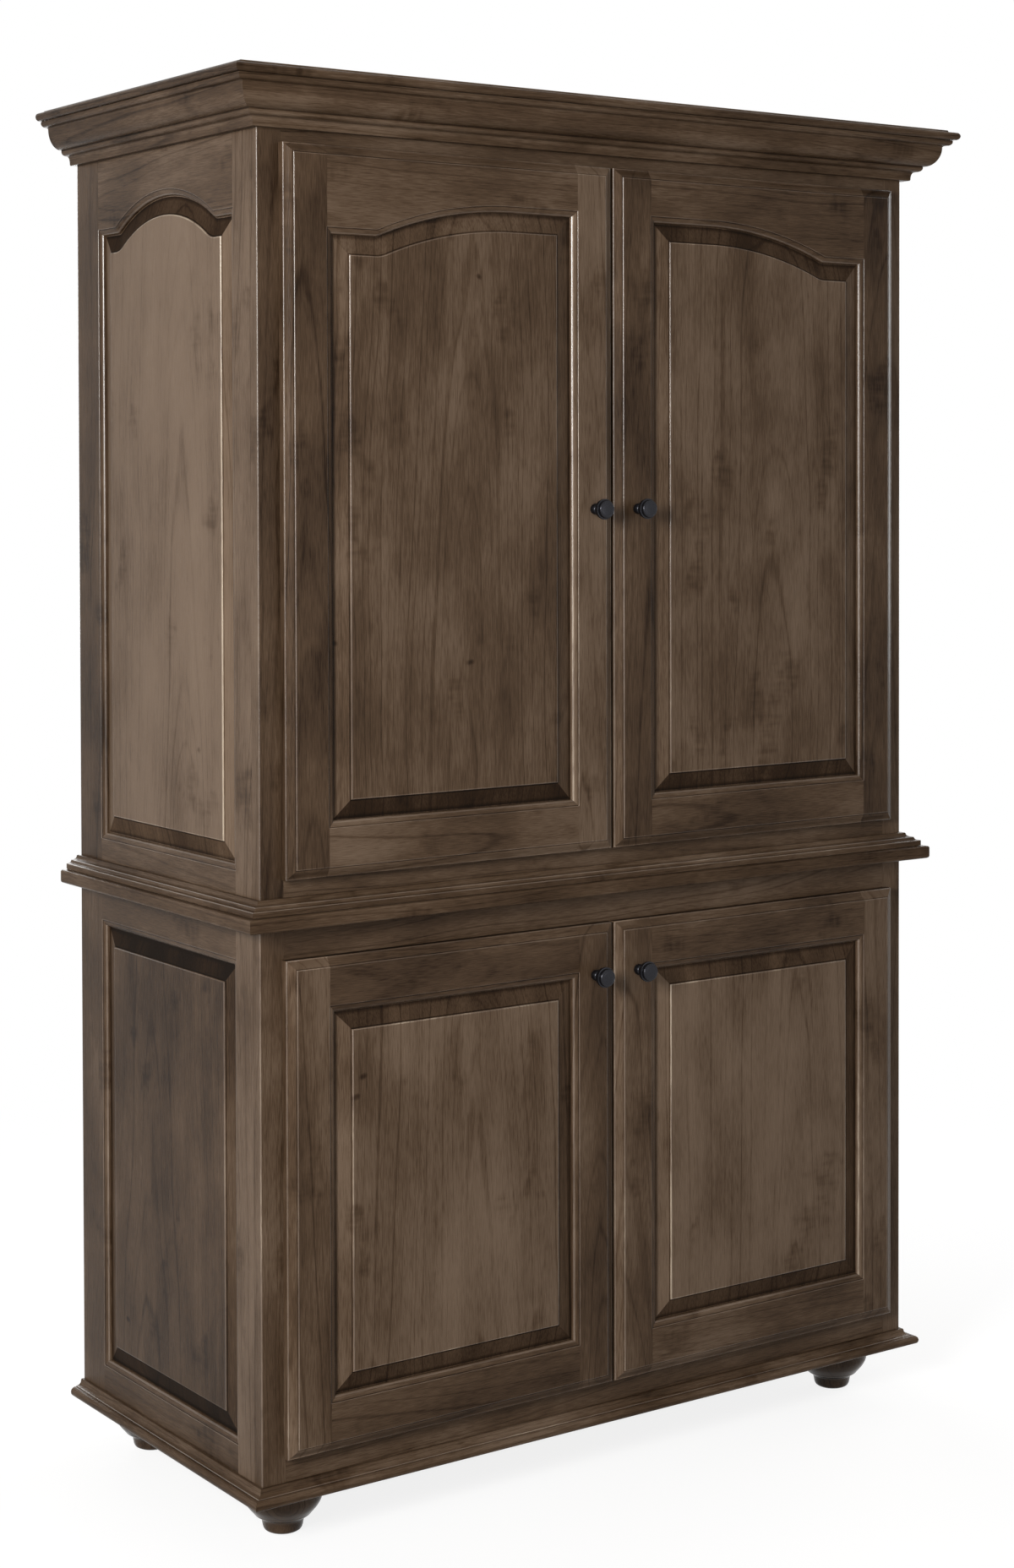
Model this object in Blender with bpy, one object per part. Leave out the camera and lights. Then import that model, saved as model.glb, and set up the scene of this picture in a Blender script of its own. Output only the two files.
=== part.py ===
"""Two-piece wine cabinet in stained hardwood, modelled as the pieces a cabinet shop would cut.

A lower case on four turned feet carries a counter, and an upper case stands on it under a
mitred crown. Each case has frame-and-panel sides, a face frame and a pair of raised-panel doors
on concealed hinges. Metres, +Z up, front towards -Y, origin under the middle of the cabinet.
"""
from math import acos, cos, pi, sin, sqrt

import bmesh
import bpy
from mathutils import Matrix, Vector

# Case boards
CASE_WIDTH = 1.219
CASE_DEPTH = 0.565
FOOT_HEIGHT = 0.076
BASE_THICKNESS = 0.024
LOWER_HEIGHT = 0.788
COUNTER_THICKNESS = 0.021
UPPER_HEIGHT = 1.166
TOP_THICKNESS = 0.017
SIDE_THICKNESS = 0.019
BOARD_THICKNESS = 0.019
BACK_THICKNESS = 0.006
SEAT = 0.0003

# Mouldings: how far each stands out from the case, and how tall it is
CROWN_PROJECTION = 0.061
CROWN_HEIGHT = 0.065
TOP_PROJECTION = 0.070
WAIST_PROJECTION = 0.025
WAIST_HEIGHT = 0.021
COUNTER_PROJECTION = 0.035
BASE_PROJECTION = 0.023

# Face frames
FACE_THICKNESS = 0.020
FACE_STILE = 0.0385
LOWER_FACE_BOTTOM = 0.041
LOWER_FACE_TOP = 0.050
UPPER_REVEAL_BELOW_DOORS = 0.031
UPPER_REVEAL_ABOVE_DOORS = 0.024

# Doors
DOOR_THICKNESS = 0.0206
DOOR_STANDOFF = 0.0022
DOOR_OVERLAY = 0.005
DOOR_MEETING_GAP = 0.0048
DOOR_STILE = 0.077
DOOR_RAIL = 0.0795
DOOR_ARCH_RISE = 0.046
DOOR_ARCH_SHOULDER = 0.0725
DOOR_ARCH_CREST = 0.1105

# Side frames, with the full arch of the upper pair
SIDE_FRONT_STILE = 0.058
SIDE_BACK_STILE = 0.0825
LOWER_SIDE_BOTTOM = 0.050
LOWER_SIDE_TOP = 0.0605
UPPER_SIDE_ABOVE_WAIST = 0.043
UPPER_SIDE_BELOW_CROWN = 0.115
SIDE_ARCH_RISE = 0.044
SIDE_ARCH_SHOULDER = 0.0456
ARCH_CORNER_RADIUS = 0.020

# Routed profiles shared by doors and sides
LIP_WIDTH = 0.0135
LIP_STEP = 0.0016
LIP_DROP = 0.0075
STICK_WIDTH = 0.0095
STICK_STEP = 0.001
STICK_DEPTH = 0.007
GROOVE_FRONT = 0.0082
GROOVE_WIDTH = 0.006
GROOVE_DEPTH = 0.010
TONGUE_RELIEF = 0.001
PANEL_FLOAT = 0.002
PANEL_MARGIN = 0.0015
PANEL_BEVEL = 0.028
PANEL_STEP = 0.0022
PANEL_SETBACK = 0.0012

# Concealed hinges
HINGE_PIVOT_INSET = 0.0055
HINGE_PIVOT_DEPTH = 0.008
HINGE_CUP_RADIUS = 0.0175
HINGE_CUP_RIM_TO_PIVOT = 0.0025
HINGE_CUP_CLEARANCE = 0.00075
HINGE_PIN_RADIUS = 0.0011
HINGE_ARM_THICKNESS = 0.0013
HINGE_ARM_HEIGHT = 0.010
HINGE_ARM_DROP = 0.00055
HINGE_ARM_CLEARANCE = 0.0009
HINGE_PLATE_THICKNESS = 0.0016
HINGE_PLATE_HEIGHT = 0.044
HINGE_PLATE_INSET = 0.0022
HINGE_END_DISTANCE = 0.100
UPPER_HINGES = 3
LOWER_HINGES = 2

# Knobs
KNOB_RADIUS = 0.0155
KNOB_LENGTH = 0.035
KNOB_BASE_RADIUS = 0.0085
KNOB_NECK_RADIUS = 0.0052
KNOB_SHANK_RADIUS = 0.002
KNOB_SHANK_RECESS = 0.0046
KNOB_BORE_CLEARANCE = 0.0003
LOWER_KNOB_DROP = 0.076

# Turned feet
FOOT_RADIUS = 0.0575
FOOT_BASE_RADIUS = 0.0275
FOOT_TOP_RADIUS = 0.040
FOOT_INSET = 0.079

# Inside fittings
SHELF_HEIGHT = 0.505
SHELF_SETBACK = 0.020
RACK_BOARD_THICKNESS = 0.016
GLASS_RAIL_COUNT = 7
GLASS_RAIL_PITCH = 0.110
GLASS_RAIL_STEM = 0.012
GLASS_RAIL_DROP = 0.022
GLASS_RAIL_LIP = 0.008
GLASS_SLOT = 0.034
BIN_COLUMNS = 4
BIN_ROWS = 3
BIN_HEIGHT = 0.130
BIN_DEPTH = 0.300
BIN_BOARD = 0.012
BIN_SETBACK = 0.060

# Facets
ARC_STEPS = 8
CORNER_STEPS = 2
STICK_STEPS = 4
LIP_STEPS = 4
BEAD_STEPS = 4
BALL_STEPS = 5
TURNED_SEGMENTS = 24
KNOB_SEGMENTS = 16
CUP_SEGMENTS = 28
PIN_SEGMENTS = 10
CUT_MARGIN = 0.005

# Finishes: linear colour, roughness, metallic
FRAME_WOOD = ((0.062, 0.043, 0.029), 0.42, 0.0)
PANEL_WOOD = ((0.098, 0.070, 0.049), 0.40, 0.0)
MOULDING_WOOD = ((0.055, 0.038, 0.026), 0.40, 0.0)
FOOT_WOOD = ((0.020, 0.013, 0.009), 0.22, 0.0)
INSIDE_WOOD = ((0.120, 0.085, 0.058), 0.50, 0.0)
BLACK_BRONZE = ((0.012, 0.012, 0.013), 0.35, 0.85)
NICKEL_STEEL = ((0.55, 0.54, 0.52), 0.30, 1.0)

# Levels and planes worked out from the sizes above
BACK_Y = (CASE_DEPTH + TOP_PROJECTION) / 2
FRONT_Y = BACK_Y - CASE_DEPTH
BASE_TOP = FOOT_HEIGHT + BASE_THICKNESS
COUNTER_BOTTOM = BASE_TOP + LOWER_HEIGHT
COUNTER_TOP = COUNTER_BOTTOM + COUNTER_THICKNESS
UPPER_TOP = COUNTER_TOP + UPPER_HEIGHT
SIDE_X = CASE_WIDTH / 2
INNER_X = SIDE_X - SIDE_THICKNESS
INNER_FRONT_Y = FRONT_Y + FACE_THICKNESS
INNER_BACK_Y = BACK_Y - BACK_THICKNESS
GROOVE_BACK = GROOVE_FRONT + GROOVE_WIDTH
DOOR_BACK_Y = FRONT_Y - DOOR_STANDOFF
DOOR_FACE_Y = DOOR_BACK_Y - DOOR_THICKNESS
DOOR_EDGE_X = SIDE_X - FACE_STILE + DOOR_OVERLAY
DOOR_WIDTH = DOOR_EDGE_X - DOOR_MEETING_GAP / 2
UPPER_FACE_BOTTOM = WAIST_HEIGHT + UPPER_REVEAL_BELOW_DOORS
UPPER_FACE_TOP = CROWN_HEIGHT + UPPER_REVEAL_ABOVE_DOORS
LOWER_INSIDE_BOTTOM = BASE_TOP + LOWER_FACE_BOTTOM
UPPER_INSIDE_BOTTOM = COUNTER_TOP + UPPER_FACE_BOTTOM
UPPER_INSIDE_TOP = UPPER_TOP - UPPER_FACE_TOP
HINGE_CUP_CENTRE = HINGE_CUP_RADIUS - HINGE_CUP_RIM_TO_PIVOT
HINGE_CUP_DEPTH = HINGE_PIVOT_DEPTH + HINGE_ARM_DROP + HINGE_ARM_THICKNESS + HINGE_CUP_CLEARANCE


def clear_scene():
    for item in list(bpy.data.objects):
        bpy.data.objects.remove(item, do_unlink=True)


def finish_material(name, finish):
    colour, roughness, metallic = finish
    material = bpy.data.materials.new(name + "_finish")
    material.use_nodes = True
    shader = material.node_tree.nodes["Principled BSDF"]
    shader.inputs["Base Color"].default_value = (*colour, 1.0)
    shader.inputs["Roughness"].default_value = roughness
    shader.inputs["Metallic"].default_value = metallic
    return material


def add_piece(name, bm, finish):
    """Turns a bmesh into a named object with outward faces and its own material."""
    bmesh.ops.recalc_face_normals(bm, faces=bm.faces)
    mesh = bpy.data.meshes.new(name)
    bm.to_mesh(mesh)
    bm.free()
    mesh.materials.append(finish_material(name, finish))
    piece = bpy.data.objects.new(name, mesh)
    bpy.context.scene.collection.objects.link(piece)
    return piece


def combine(piece, bm, operation):
    """Cuts a tool shape from a piece, or joins it on, and keeps the resulting mesh."""
    tool = add_piece(piece.name + "_tool", bm, NICKEL_STEEL)
    modifier = piece.modifiers.new("tool", "BOOLEAN")
    modifier.operation = operation
    modifier.solver = "EXACT"
    modifier.object = tool
    bpy.context.view_layer.update()
    evaluated = piece.evaluated_get(bpy.context.evaluated_depsgraph_get())
    mesh = bpy.data.meshes.new_from_object(evaluated)
    piece.modifiers.clear()
    mesh.materials.clear()
    mesh.materials.append(piece.data.materials[0])
    piece.data = mesh
    bpy.data.objects.remove(tool, do_unlink=True)


def cut(piece, bm):
    combine(piece, bm, "DIFFERENCE")


def join(piece, bm):
    combine(piece, bm, "UNION")


def smooth_round(piece):
    piece.data.shade_smooth()
    piece.data.set_sharp_from_angle(angle=pi / 6)


def loft(rings, closed=False):
    """Skins rings of equal length; a closed loft joins its last ring to its first."""
    bm = bmesh.new()
    loops = [[bm.verts.new(point) for point in ring] for ring in rings]
    count = len(loops[0])
    pairs = list(zip(loops, loops[1:]))
    if closed:
        pairs.append((loops[-1], loops[0]))
    for low, high in pairs:
        for i in range(count):
            j = (i + 1) % count
            bm.faces.new((low[i], low[j], high[j], high[i]))
    if not closed:
        bm.faces.new(loops[0][::-1])
        bm.faces.new(loops[-1])
    return bm


def prism(outline, place, start, end):
    """Extrudes a flat outline between two stations, each point mapped by place(a, b, station)."""
    bm = bmesh.new()
    face = bm.faces.new([bm.verts.new(place(a, b, start)) for a, b in outline])
    shift = Vector(place(0, 0, end)) - Vector(place(0, 0, start))
    grown = bmesh.ops.extrude_face_region(bm, geom=[face], use_keep_orig=True)
    moved = [item for item in grown["geom"] if isinstance(item, bmesh.types.BMVert)]
    bmesh.ops.translate(bm, vec=shift, verts=moved)
    return bm


def box(low, high):
    (x0, y0, z0), (x1, y1, z1) = low, high
    outline = [(x0, y0), (x1, y0), (x1, y1), (x0, y1)]
    return prism(outline, lambda a, b, station: (a, b, station), z0, z1)


def cylinder(centre, radius, axis, length, segments):
    """A cylinder that starts at centre and runs along an axis."""
    bm = bmesh.new()
    direction = Vector(axis).normalized()
    turn = direction.to_track_quat("Z", "Y").to_matrix().to_4x4()
    middle = Vector(centre) + direction * length / 2
    bmesh.ops.create_cone(bm, cap_ends=True, segments=segments, radius1=radius, radius2=radius,
                          depth=length, matrix=Matrix.Translation(middle) @ turn)
    return bm


def turned(profile, segments):
    """Spins a (radius, height) profile that starts and ends on the Z axis."""
    bm = bmesh.new()
    verts = [bm.verts.new((radius, 0, height)) for radius, height in profile]
    edges = [bm.edges.new(pair) for pair in zip(verts, verts[1:])]
    bmesh.ops.spin(bm, geom=verts + edges, axis=(0, 0, 1), cent=(0, 0, 0), steps=segments,
                   angle=2 * pi, use_merge=True)
    bmesh.ops.remove_doubles(bm, verts=bm.verts, dist=1e-6)
    return bm


def quarter(start, end, bulge_first, steps):
    """Quarter ellipse between two points, leaving the start along its first or second axis."""
    (a0, b0), (a1, b1) = start, end
    points = []
    for step in range(1, steps + 1):
        angle = pi / 2 * step / steps
        slow, fast = 1 - cos(angle), sin(angle)
        share_a, share_b = (fast, slow) if bulge_first else (slow, fast)
        points.append((a0 + (a1 - a0) * share_a, b0 + (b1 - b0) * share_b))
    return points


def offset_outline(points, distance):
    """Moves every side of a closed outline outward by one distance."""
    following = points[1:] + points[:1]
    area = sum(a[0] * b[1] - b[0] * a[1] for a, b in zip(points, following))
    turn = 1 if area > 0 else -1
    normals = []
    for (a0, b0), (a1, b1) in zip(points, following):
        length = sqrt((a1 - a0) ** 2 + (b1 - b0) ** 2)
        normals.append((turn * (b1 - b0) / length, turn * (a0 - a1) / length))
    moved = []
    for (a, b), before, after in zip(points, normals[-1:] + normals[:-1], normals):
        scale = distance / (1 + before[0] * after[0] + before[1] * after[1])
        moved.append((a + (before[0] + after[0]) * scale, b + (before[1] + after[1]) * scale))
    return moved


# Routed profiles, as (distance from the edge, depth behind the face)
def lip_profile():
    """The door's outer edge, from the thin lip up an ogee and a small step to the face."""
    points = []
    for step in range(LIP_STEPS + 1):
        share = step / LIP_STEPS
        ease = share * share * (3 - 2 * share)
        points.append((LIP_WIDTH * share, LIP_DROP + (LIP_STEP - LIP_DROP) * ease))
    points.append((LIP_WIDTH, 0))
    return points


def stick_profile():
    """The inner edge of a frame: a step, a quarter round, and the groove for the panel."""
    points = [(STICK_WIDTH, 0), (STICK_WIDTH, STICK_STEP)]
    points += quarter((STICK_WIDTH, STICK_STEP), (0, STICK_DEPTH), True, STICK_STEPS)
    points += [(0, GROOVE_FRONT), (GROOVE_DEPTH, GROOVE_FRONT)]
    points += [(GROOVE_DEPTH, GROOVE_BACK), (0, GROOVE_BACK)]
    return points


def member_outline(width):
    """Cross-section of a door stile or straight rail: outer lip, face, sticking, groove, back."""
    inner = [(width - inset, depth) for inset, depth in stick_profile()]
    return [(0, DOOR_THICKNESS)] + lip_profile() + inner + [(width, DOOR_THICKNESS)]


# Arches: points along an opening's top edge with the normal that points into the rail
def flat_path(width):
    return [(0, 0, 0, 1), (width, 0, 0, 1)]


def arch_path(width, rise, shoulder, crest):
    """Half arch: a flat shoulder, a small turn, one long sweep and a flat crest."""
    run = width - shoulder - crest
    span = (run * run + rise * rise) / (2 * rise)
    sweep_radius = span - ARCH_CORNER_RADIUS
    turn = acos(1 - rise / span)
    path = [(0, 0, 0, 1)]
    for step in range(CORNER_STEPS):
        angle = turn * step / CORNER_STEPS
        path.append((shoulder + ARCH_CORNER_RADIUS * sin(angle),
                     ARCH_CORNER_RADIUS * (1 - cos(angle)), -sin(angle), cos(angle)))
    for step in range(ARC_STEPS + 1):
        angle = turn * (1 - step / ARC_STEPS)
        path.append((width - crest - sweep_radius * sin(angle),
                     rise - sweep_radius * (1 - cos(angle)), -sin(angle), cos(angle)))
    if crest > 0:
        path.append((width, rise, 0, 1))
    return path


def full_arch_path(width, rise, shoulder):
    half = arch_path(width / 2, rise, shoulder, 0)
    mirrored = [(width - u, v, -nu, nv) for u, v, nu, nv in half[-2::-1]]
    return half + mirrored


def path_offset(path, distance):
    """The path moved into the rail; its two ends also move sideways, as a corner does."""
    points = [(u + nu * distance, v + nv * distance) for u, v, nu, nv in path]
    first, last = points[0], points[-1]
    points[0] = (first[0] - distance, first[1])
    points[-1] = (last[0] + distance, last[1])
    return points


def opening_loop(path, height, distance):
    """An opening's edge moved outward: bottom corners, then the top from right to left."""
    width = path[-1][0]
    top = [(u, height + v) for u, v in path_offset(path, distance)]
    return [(-distance, -distance), (width + distance, -distance)] + top[::-1]


def outer_loop(path, left, right, bottom, top):
    """A frame's square outer edge with one point for each point of its opening."""
    width = path[-1][0]
    inner = [(u, top) for u, v, nu, nv in path[1:-1]]
    row = [(-left, top)] + inner + [(width + right, top)]
    return [(-left, bottom), (width + right, bottom)] + row[::-1]


def raised_panel(name, path, height, place):
    """A floating panel: tongue in the groove, sloping bevel, and a step up to the field."""
    tongue = GROOVE_DEPTH - PANEL_FLOAT
    stations = [(tongue, GROOVE_BACK - SEAT), (tongue, GROOVE_FRONT + SEAT),
                (-PANEL_MARGIN, GROOVE_FRONT + SEAT),
                (-PANEL_BEVEL, PANEL_SETBACK + PANEL_STEP), (-PANEL_BEVEL, PANEL_SETBACK)]
    rings = []
    for distance, depth in stations:
        rings.append([place(u, v, depth) for u, v in opening_loop(path, height, distance)])
    return add_piece(name, loft(rings), PANEL_WOOD)


# Doors
def door_shape(hinge_axis, hand, foot):
    """Maps a door's own (across, up, depth) to space; across runs from the hinge edge."""
    def place(across, up, depth):
        offset = hand * (across - HINGE_PIVOT_INSET)
        return (hinge_axis.x + offset, DOOR_FACE_Y + depth, foot + up)
    return place


def door_stile(name, height, place, from_hinge_edge):
    def across(width):
        return width if from_hinge_edge else DOOR_WIDTH - width
    stile = add_piece(name, prism(member_outline(DOOR_STILE),
                                  lambda a, b, station: place(across(a), station, b), 0, height),
                      FRAME_WOOD)
    lip = lip_profile()
    waste = lip + [(LIP_WIDTH, -CUT_MARGIN), (-CUT_MARGIN, -CUT_MARGIN), (-CUT_MARGIN, LIP_DROP)]
    span = (-CUT_MARGIN, DOOR_STILE + CUT_MARGIN)
    cut(stile, prism(waste, lambda a, b, station: place(across(station), a, b), *span))
    cut(stile, prism(waste, lambda a, b, station: place(across(station), height - a, b), *span))
    return stile


def cope(rail, height, place):
    """Shapes a rail's two ends over the stiles' sticking, with a stub tongue in their grooves."""
    outline = offset_outline(member_outline(DOOR_STILE), SEAT)
    for mirrored in (False, True):
        def stile_place(a, b, station, flip=mirrored):
            return place(DOOR_WIDTH - a if flip else a, station, b)
        cut(rail, prism(outline, stile_place, -CUT_MARGIN, height + CUT_MARGIN))


def bottom_rail(name, height, place):
    reach = DOOR_STILE - GROOVE_DEPTH + TONGUE_RELIEF
    rail = add_piece(name, prism(member_outline(DOOR_RAIL),
                                 lambda a, b, station: place(station, a, b),
                                 reach, DOOR_WIDTH - reach), FRAME_WOOD)
    cope(rail, height, place)
    return rail


def top_rail(name, height, path, place):
    """Rail with its lower edge on the path, skinned from one cross-section at each path point."""
    reach = GROOVE_DEPTH - TONGUE_RELIEF
    rise = max(v for u, v, nu, nv in path)
    shoulder_up = height - DOOR_RAIL - rise
    upper = [(0, DOOR_THICKNESS)] + lip_profile()
    lower = stick_profile() + [(0, DOOR_THICKNESS)]
    columns = []
    for inset, depth in lower:
        points = [(u + nu * inset, v + nv * inset) for u, v, nu, nv in path]
        points[0] = (-reach, points[0][1])
        points[-1] = (path[-1][0] + reach, points[-1][1])
        columns.append([place(DOOR_STILE + u, shoulder_up + v, depth) for u, v in points])
    rings = []
    for k, (u, v, nu, nv) in enumerate(path):
        along = -reach if k == 0 else u
        if k == len(path) - 1:
            along = u + reach
        ring = [place(DOOR_STILE + along, height - inset, depth) for inset, depth in upper]
        rings.append(ring + [column[k] for column in columns])
    rail = add_piece(name, loft(rings), FRAME_WOOD)
    cope(rail, height, place)
    return rail


def hinge_heights(height, count):
    reach = height - 2 * HINGE_END_DISTANCE
    return [HINGE_END_DISTANCE + reach * i / (count - 1) for i in range(count)]


def bore_hinge_cups(stile, heights, place):
    for up in heights:
        start = place(HINGE_PIVOT_INSET + HINGE_CUP_CENTRE, up, DOOR_THICKNESS - HINGE_CUP_DEPTH)
        cut(stile, cylinder(start, HINGE_CUP_RADIUS, (0, 1, 0), HINGE_CUP_DEPTH + CUT_MARGIN,
                            CUP_SEGMENTS))


def bore_knob(stile, up, place):
    start = place(DOOR_WIDTH - DOOR_STILE / 2, up, -CUT_MARGIN)
    cut(stile, cylinder(start, KNOB_SHANK_RADIUS + KNOB_BORE_CLEARANCE, (0, 1, 0),
                        DOOR_THICKNESS + 2 * CUT_MARGIN, PIN_SEGMENTS))


def knob_profile():
    """Knob from the tip of its shank to its face: ball foot, thin neck, ringed head."""
    head, ball, neck, face = KNOB_RADIUS, KNOB_BASE_RADIUS, KNOB_NECK_RADIUS, KNOB_LENGTH
    tip = KNOB_SHANK_RECESS - DOOR_THICKNESS
    profile = [(0, tip), (KNOB_SHANK_RADIUS, tip), (KNOB_SHANK_RADIUS, SEAT), (0.72 * ball, SEAT)]
    profile += quarter((0.72 * ball, SEAT), (ball, 0.13 * face), True, 2)
    profile += quarter((ball, 0.13 * face), (neck, 0.34 * face), False, 3)
    profile += [(neck, 0.42 * face)]
    profile += quarter((neck, 0.42 * face), (0.86 * head, 0.62 * face), False, 3)
    for radius, low, high in ((0.93, 0.63, 0.71), (1.0, 0.73, 0.83)):
        profile += [(radius * head, low * face), (radius * head, high * face)]
        profile += [(0.88 * head, (high + 0.01) * face)]
    profile += quarter((0.88 * head, 0.92 * face), (0.72 * head, face), False, 2)
    profile += [(0, face)]
    return profile


def door_knob(name, up, place):
    bm = turned(knob_profile(), KNOB_SEGMENTS)
    seat = Vector(place(DOOR_WIDTH - DOOR_STILE / 2, up, 0))
    bmesh.ops.transform(bm, verts=bm.verts,
                        matrix=Matrix.Translation(seat) @ Matrix.Rotation(pi / 2, 4, "X"))
    knob = add_piece(name, bm, BLACK_BRONZE)
    smooth_round(knob)
    return knob


def hinge(name, axis, hand, up):
    """Fixed half of a hinge: plate on the face frame, hooked arm and the pin in the door's cup."""
    def spot(inward, back):
        return (axis.x + hand * inward, axis.y + back)
    edge = DOOR_OVERLAY - HINGE_PIVOT_INSET + SEAT
    tab_reach = sqrt(HINGE_PIVOT_INSET ** 2 + HINGE_PIVOT_DEPTH ** 2)
    hook_near = tab_reach + HINGE_ARM_CLEARANCE
    hook_far = hook_near + HINGE_ARM_THICKNESS
    neck_back = -HINGE_ARM_DROP
    neck_front = neck_back - HINGE_ARM_THICKNESS
    plate_front = HINGE_PIVOT_DEPTH + DOOR_STANDOFF + HINGE_PLATE_INSET
    plate_back = plate_front + FACE_THICKNESS - 2 * HINGE_PLATE_INSET
    bridge_front = plate_front + HINGE_ARM_THICKNESS / 2
    bridge_back = bridge_front + HINGE_ARM_THICKNESS
    root = edge + HINGE_PLATE_THICKNESS / 2
    outline = [(-HINGE_PIN_RADIUS, neck_front), (hook_far, neck_front), (hook_far, bridge_back),
               (root, bridge_back), (root, bridge_front), (hook_near, bridge_front),
               (hook_near, neck_back), (-HINGE_PIN_RADIUS, neck_back)]
    half_arm = HINGE_ARM_HEIGHT / 2
    arm = prism(outline, lambda a, b, station: (*spot(a, b), station), up - half_arm, up + half_arm)
    body = add_piece(name, arm, NICKEL_STEEL)
    half_plate = HINGE_PLATE_HEIGHT / 2
    plate = [(edge, plate_front), (edge + HINGE_PLATE_THICKNESS, plate_front),
             (edge + HINGE_PLATE_THICKNESS, plate_back), (edge, plate_back)]
    join(body, prism(plate, lambda a, b, station: (*spot(a, b), station),
                     up - half_plate, up + half_plate))
    bore = HINGE_CUP_RADIUS * cos(pi / CUP_SEGMENTS) - SEAT
    half_pin = sqrt(bore ** 2 - (HINGE_CUP_CENTRE + HINGE_PIN_RADIUS) ** 2)
    join(body, cylinder((*spot(0, 0), up - half_pin), HINGE_PIN_RADIUS, (0, 0, 1), 2 * half_pin,
                        PIN_SEGMENTS))
    return body


def build_door(prefix, hand, bottom, top, arched, hinge_count, knob_up):
    """One door: five wooden pieces and a knob on an empty at the hinge axis, plus its hinges."""
    height = top - bottom
    axis = Vector((-hand * (DOOR_EDGE_X - HINGE_PIVOT_INSET), DOOR_BACK_Y - HINGE_PIVOT_DEPTH, bottom))
    place = door_shape(axis, hand, bottom)
    opening = DOOR_WIDTH - 2 * DOOR_STILE
    rise = DOOR_ARCH_RISE if arched else 0
    path = flat_path(opening)
    if arched:
        path = arch_path(opening, rise, DOOR_ARCH_SHOULDER, DOOR_ARCH_CREST)
    heights = hinge_heights(height, hinge_count)
    hinge_stile = door_stile(prefix + "_hinge_stile", height, place, True)
    bore_hinge_cups(hinge_stile, heights, place)
    lock_stile = door_stile(prefix + "_lock_stile", height, place, False)
    bore_knob(lock_stile, knob_up, place)
    pieces = [hinge_stile, lock_stile,
              top_rail(prefix + "_top_rail", height, path, place),
              bottom_rail(prefix + "_bottom_rail", height, place)]
    panel_height = height - 2 * DOOR_RAIL - rise
    pieces.append(raised_panel(prefix + "_raised_panel", path, panel_height,
                               lambda u, v, depth: place(DOOR_STILE + u, DOOR_RAIL + v, depth)))
    pieces.append(door_knob(prefix + "_knob", knob_up, place))
    pivot = bpy.data.objects.new(prefix + "_hinge_axis", None)
    pivot.location = axis
    bpy.context.scene.collection.objects.link(pivot)
    bpy.context.view_layer.update()
    for piece in pieces:
        piece.parent = pivot
        piece.matrix_parent_inverse = pivot.matrix_world.inverted()
    for i, up in enumerate(heights):
        hinge(prefix + "_hinge_" + str(i + 1), axis, hand, bottom + up)


def build_doors():
    lower_bottom = LOWER_INSIDE_BOTTOM - DOOR_OVERLAY
    lower_top = COUNTER_BOTTOM - LOWER_FACE_TOP + DOOR_OVERLAY
    upper_bottom = UPPER_INSIDE_BOTTOM - DOOR_OVERLAY
    upper_top = UPPER_INSIDE_TOP + DOOR_OVERLAY
    lower_knob = lower_top - lower_bottom - LOWER_KNOB_DROP
    upper_knob = (upper_top - upper_bottom) / 2
    for side, hand in (("left", 1), ("right", -1)):
        build_door("upper_" + side + "_door", hand, upper_bottom, upper_top, True, UPPER_HINGES,
                   upper_knob)
        build_door("lower_" + side + "_door", hand, lower_bottom, lower_top, False, LOWER_HINGES,
                   lower_knob)


# Case
def face_frame(name, bottom, top, bottom_rail_width, top_rail_width):
    outer = [(-SIDE_X, bottom), (SIDE_X, bottom), (SIDE_X, top), (-SIDE_X, top)]
    left, right = FACE_STILE - SIDE_X, SIDE_X - FACE_STILE
    low, high = bottom + bottom_rail_width, top - top_rail_width
    inner = [(left, low), (right, low), (right, high), (left, high)]
    rings = []
    for loop, y in ((outer, FRONT_Y), (inner, FRONT_Y), (inner, INNER_FRONT_Y), (outer, INNER_FRONT_Y)):
        rings.append([(x, y, z) for x, z in loop])
    return add_piece(name, loft(rings, closed=True), FRAME_WOOD)


def case_side(prefix, hand, bottom, top, bottom_width, top_width, arched):
    """Frame-and-panel side: one moulded frame and the raised panel held in its groove."""
    start = INNER_FRONT_Y + SEAT
    opening = BACK_Y - start - SIDE_FRONT_STILE - SIDE_BACK_STILE
    rise = SIDE_ARCH_RISE if arched else 0
    path = flat_path(opening)
    if arched:
        path = full_arch_path(opening, rise, SIDE_ARCH_SHOULDER)
    shoulder = top - bottom - bottom_width - top_width

    def place(u, v, depth):
        return (hand * (SIDE_X - depth), start + SIDE_FRONT_STILE + u, bottom + bottom_width + v)

    square = outer_loop(path, SIDE_FRONT_STILE, SIDE_BACK_STILE, -bottom_width, shoulder + top_width)
    rings = [[place(u, v, 0) for u, v in square]]
    for inset, depth in stick_profile() + [(0, SIDE_THICKNESS)]:
        rings.append([place(u, v, depth) for u, v in opening_loop(path, shoulder, inset)])
    rings.append([place(u, v, SIDE_THICKNESS) for u, v in square])
    add_piece(prefix + "_side_frame", loft(rings, closed=True), FRAME_WOOD)
    raised_panel(prefix + "_side_panel", path, shoulder, place)


def inner_board(name, bottom, setback):
    """A board that fills the case between the sides and the back, up to or short of the frame."""
    reach = INNER_X - SEAT
    return add_piece(name, box((-reach, INNER_FRONT_Y + setback, bottom),
                               (reach, INNER_BACK_Y - SEAT, bottom + BOARD_THICKNESS)), INSIDE_WOOD)


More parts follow.
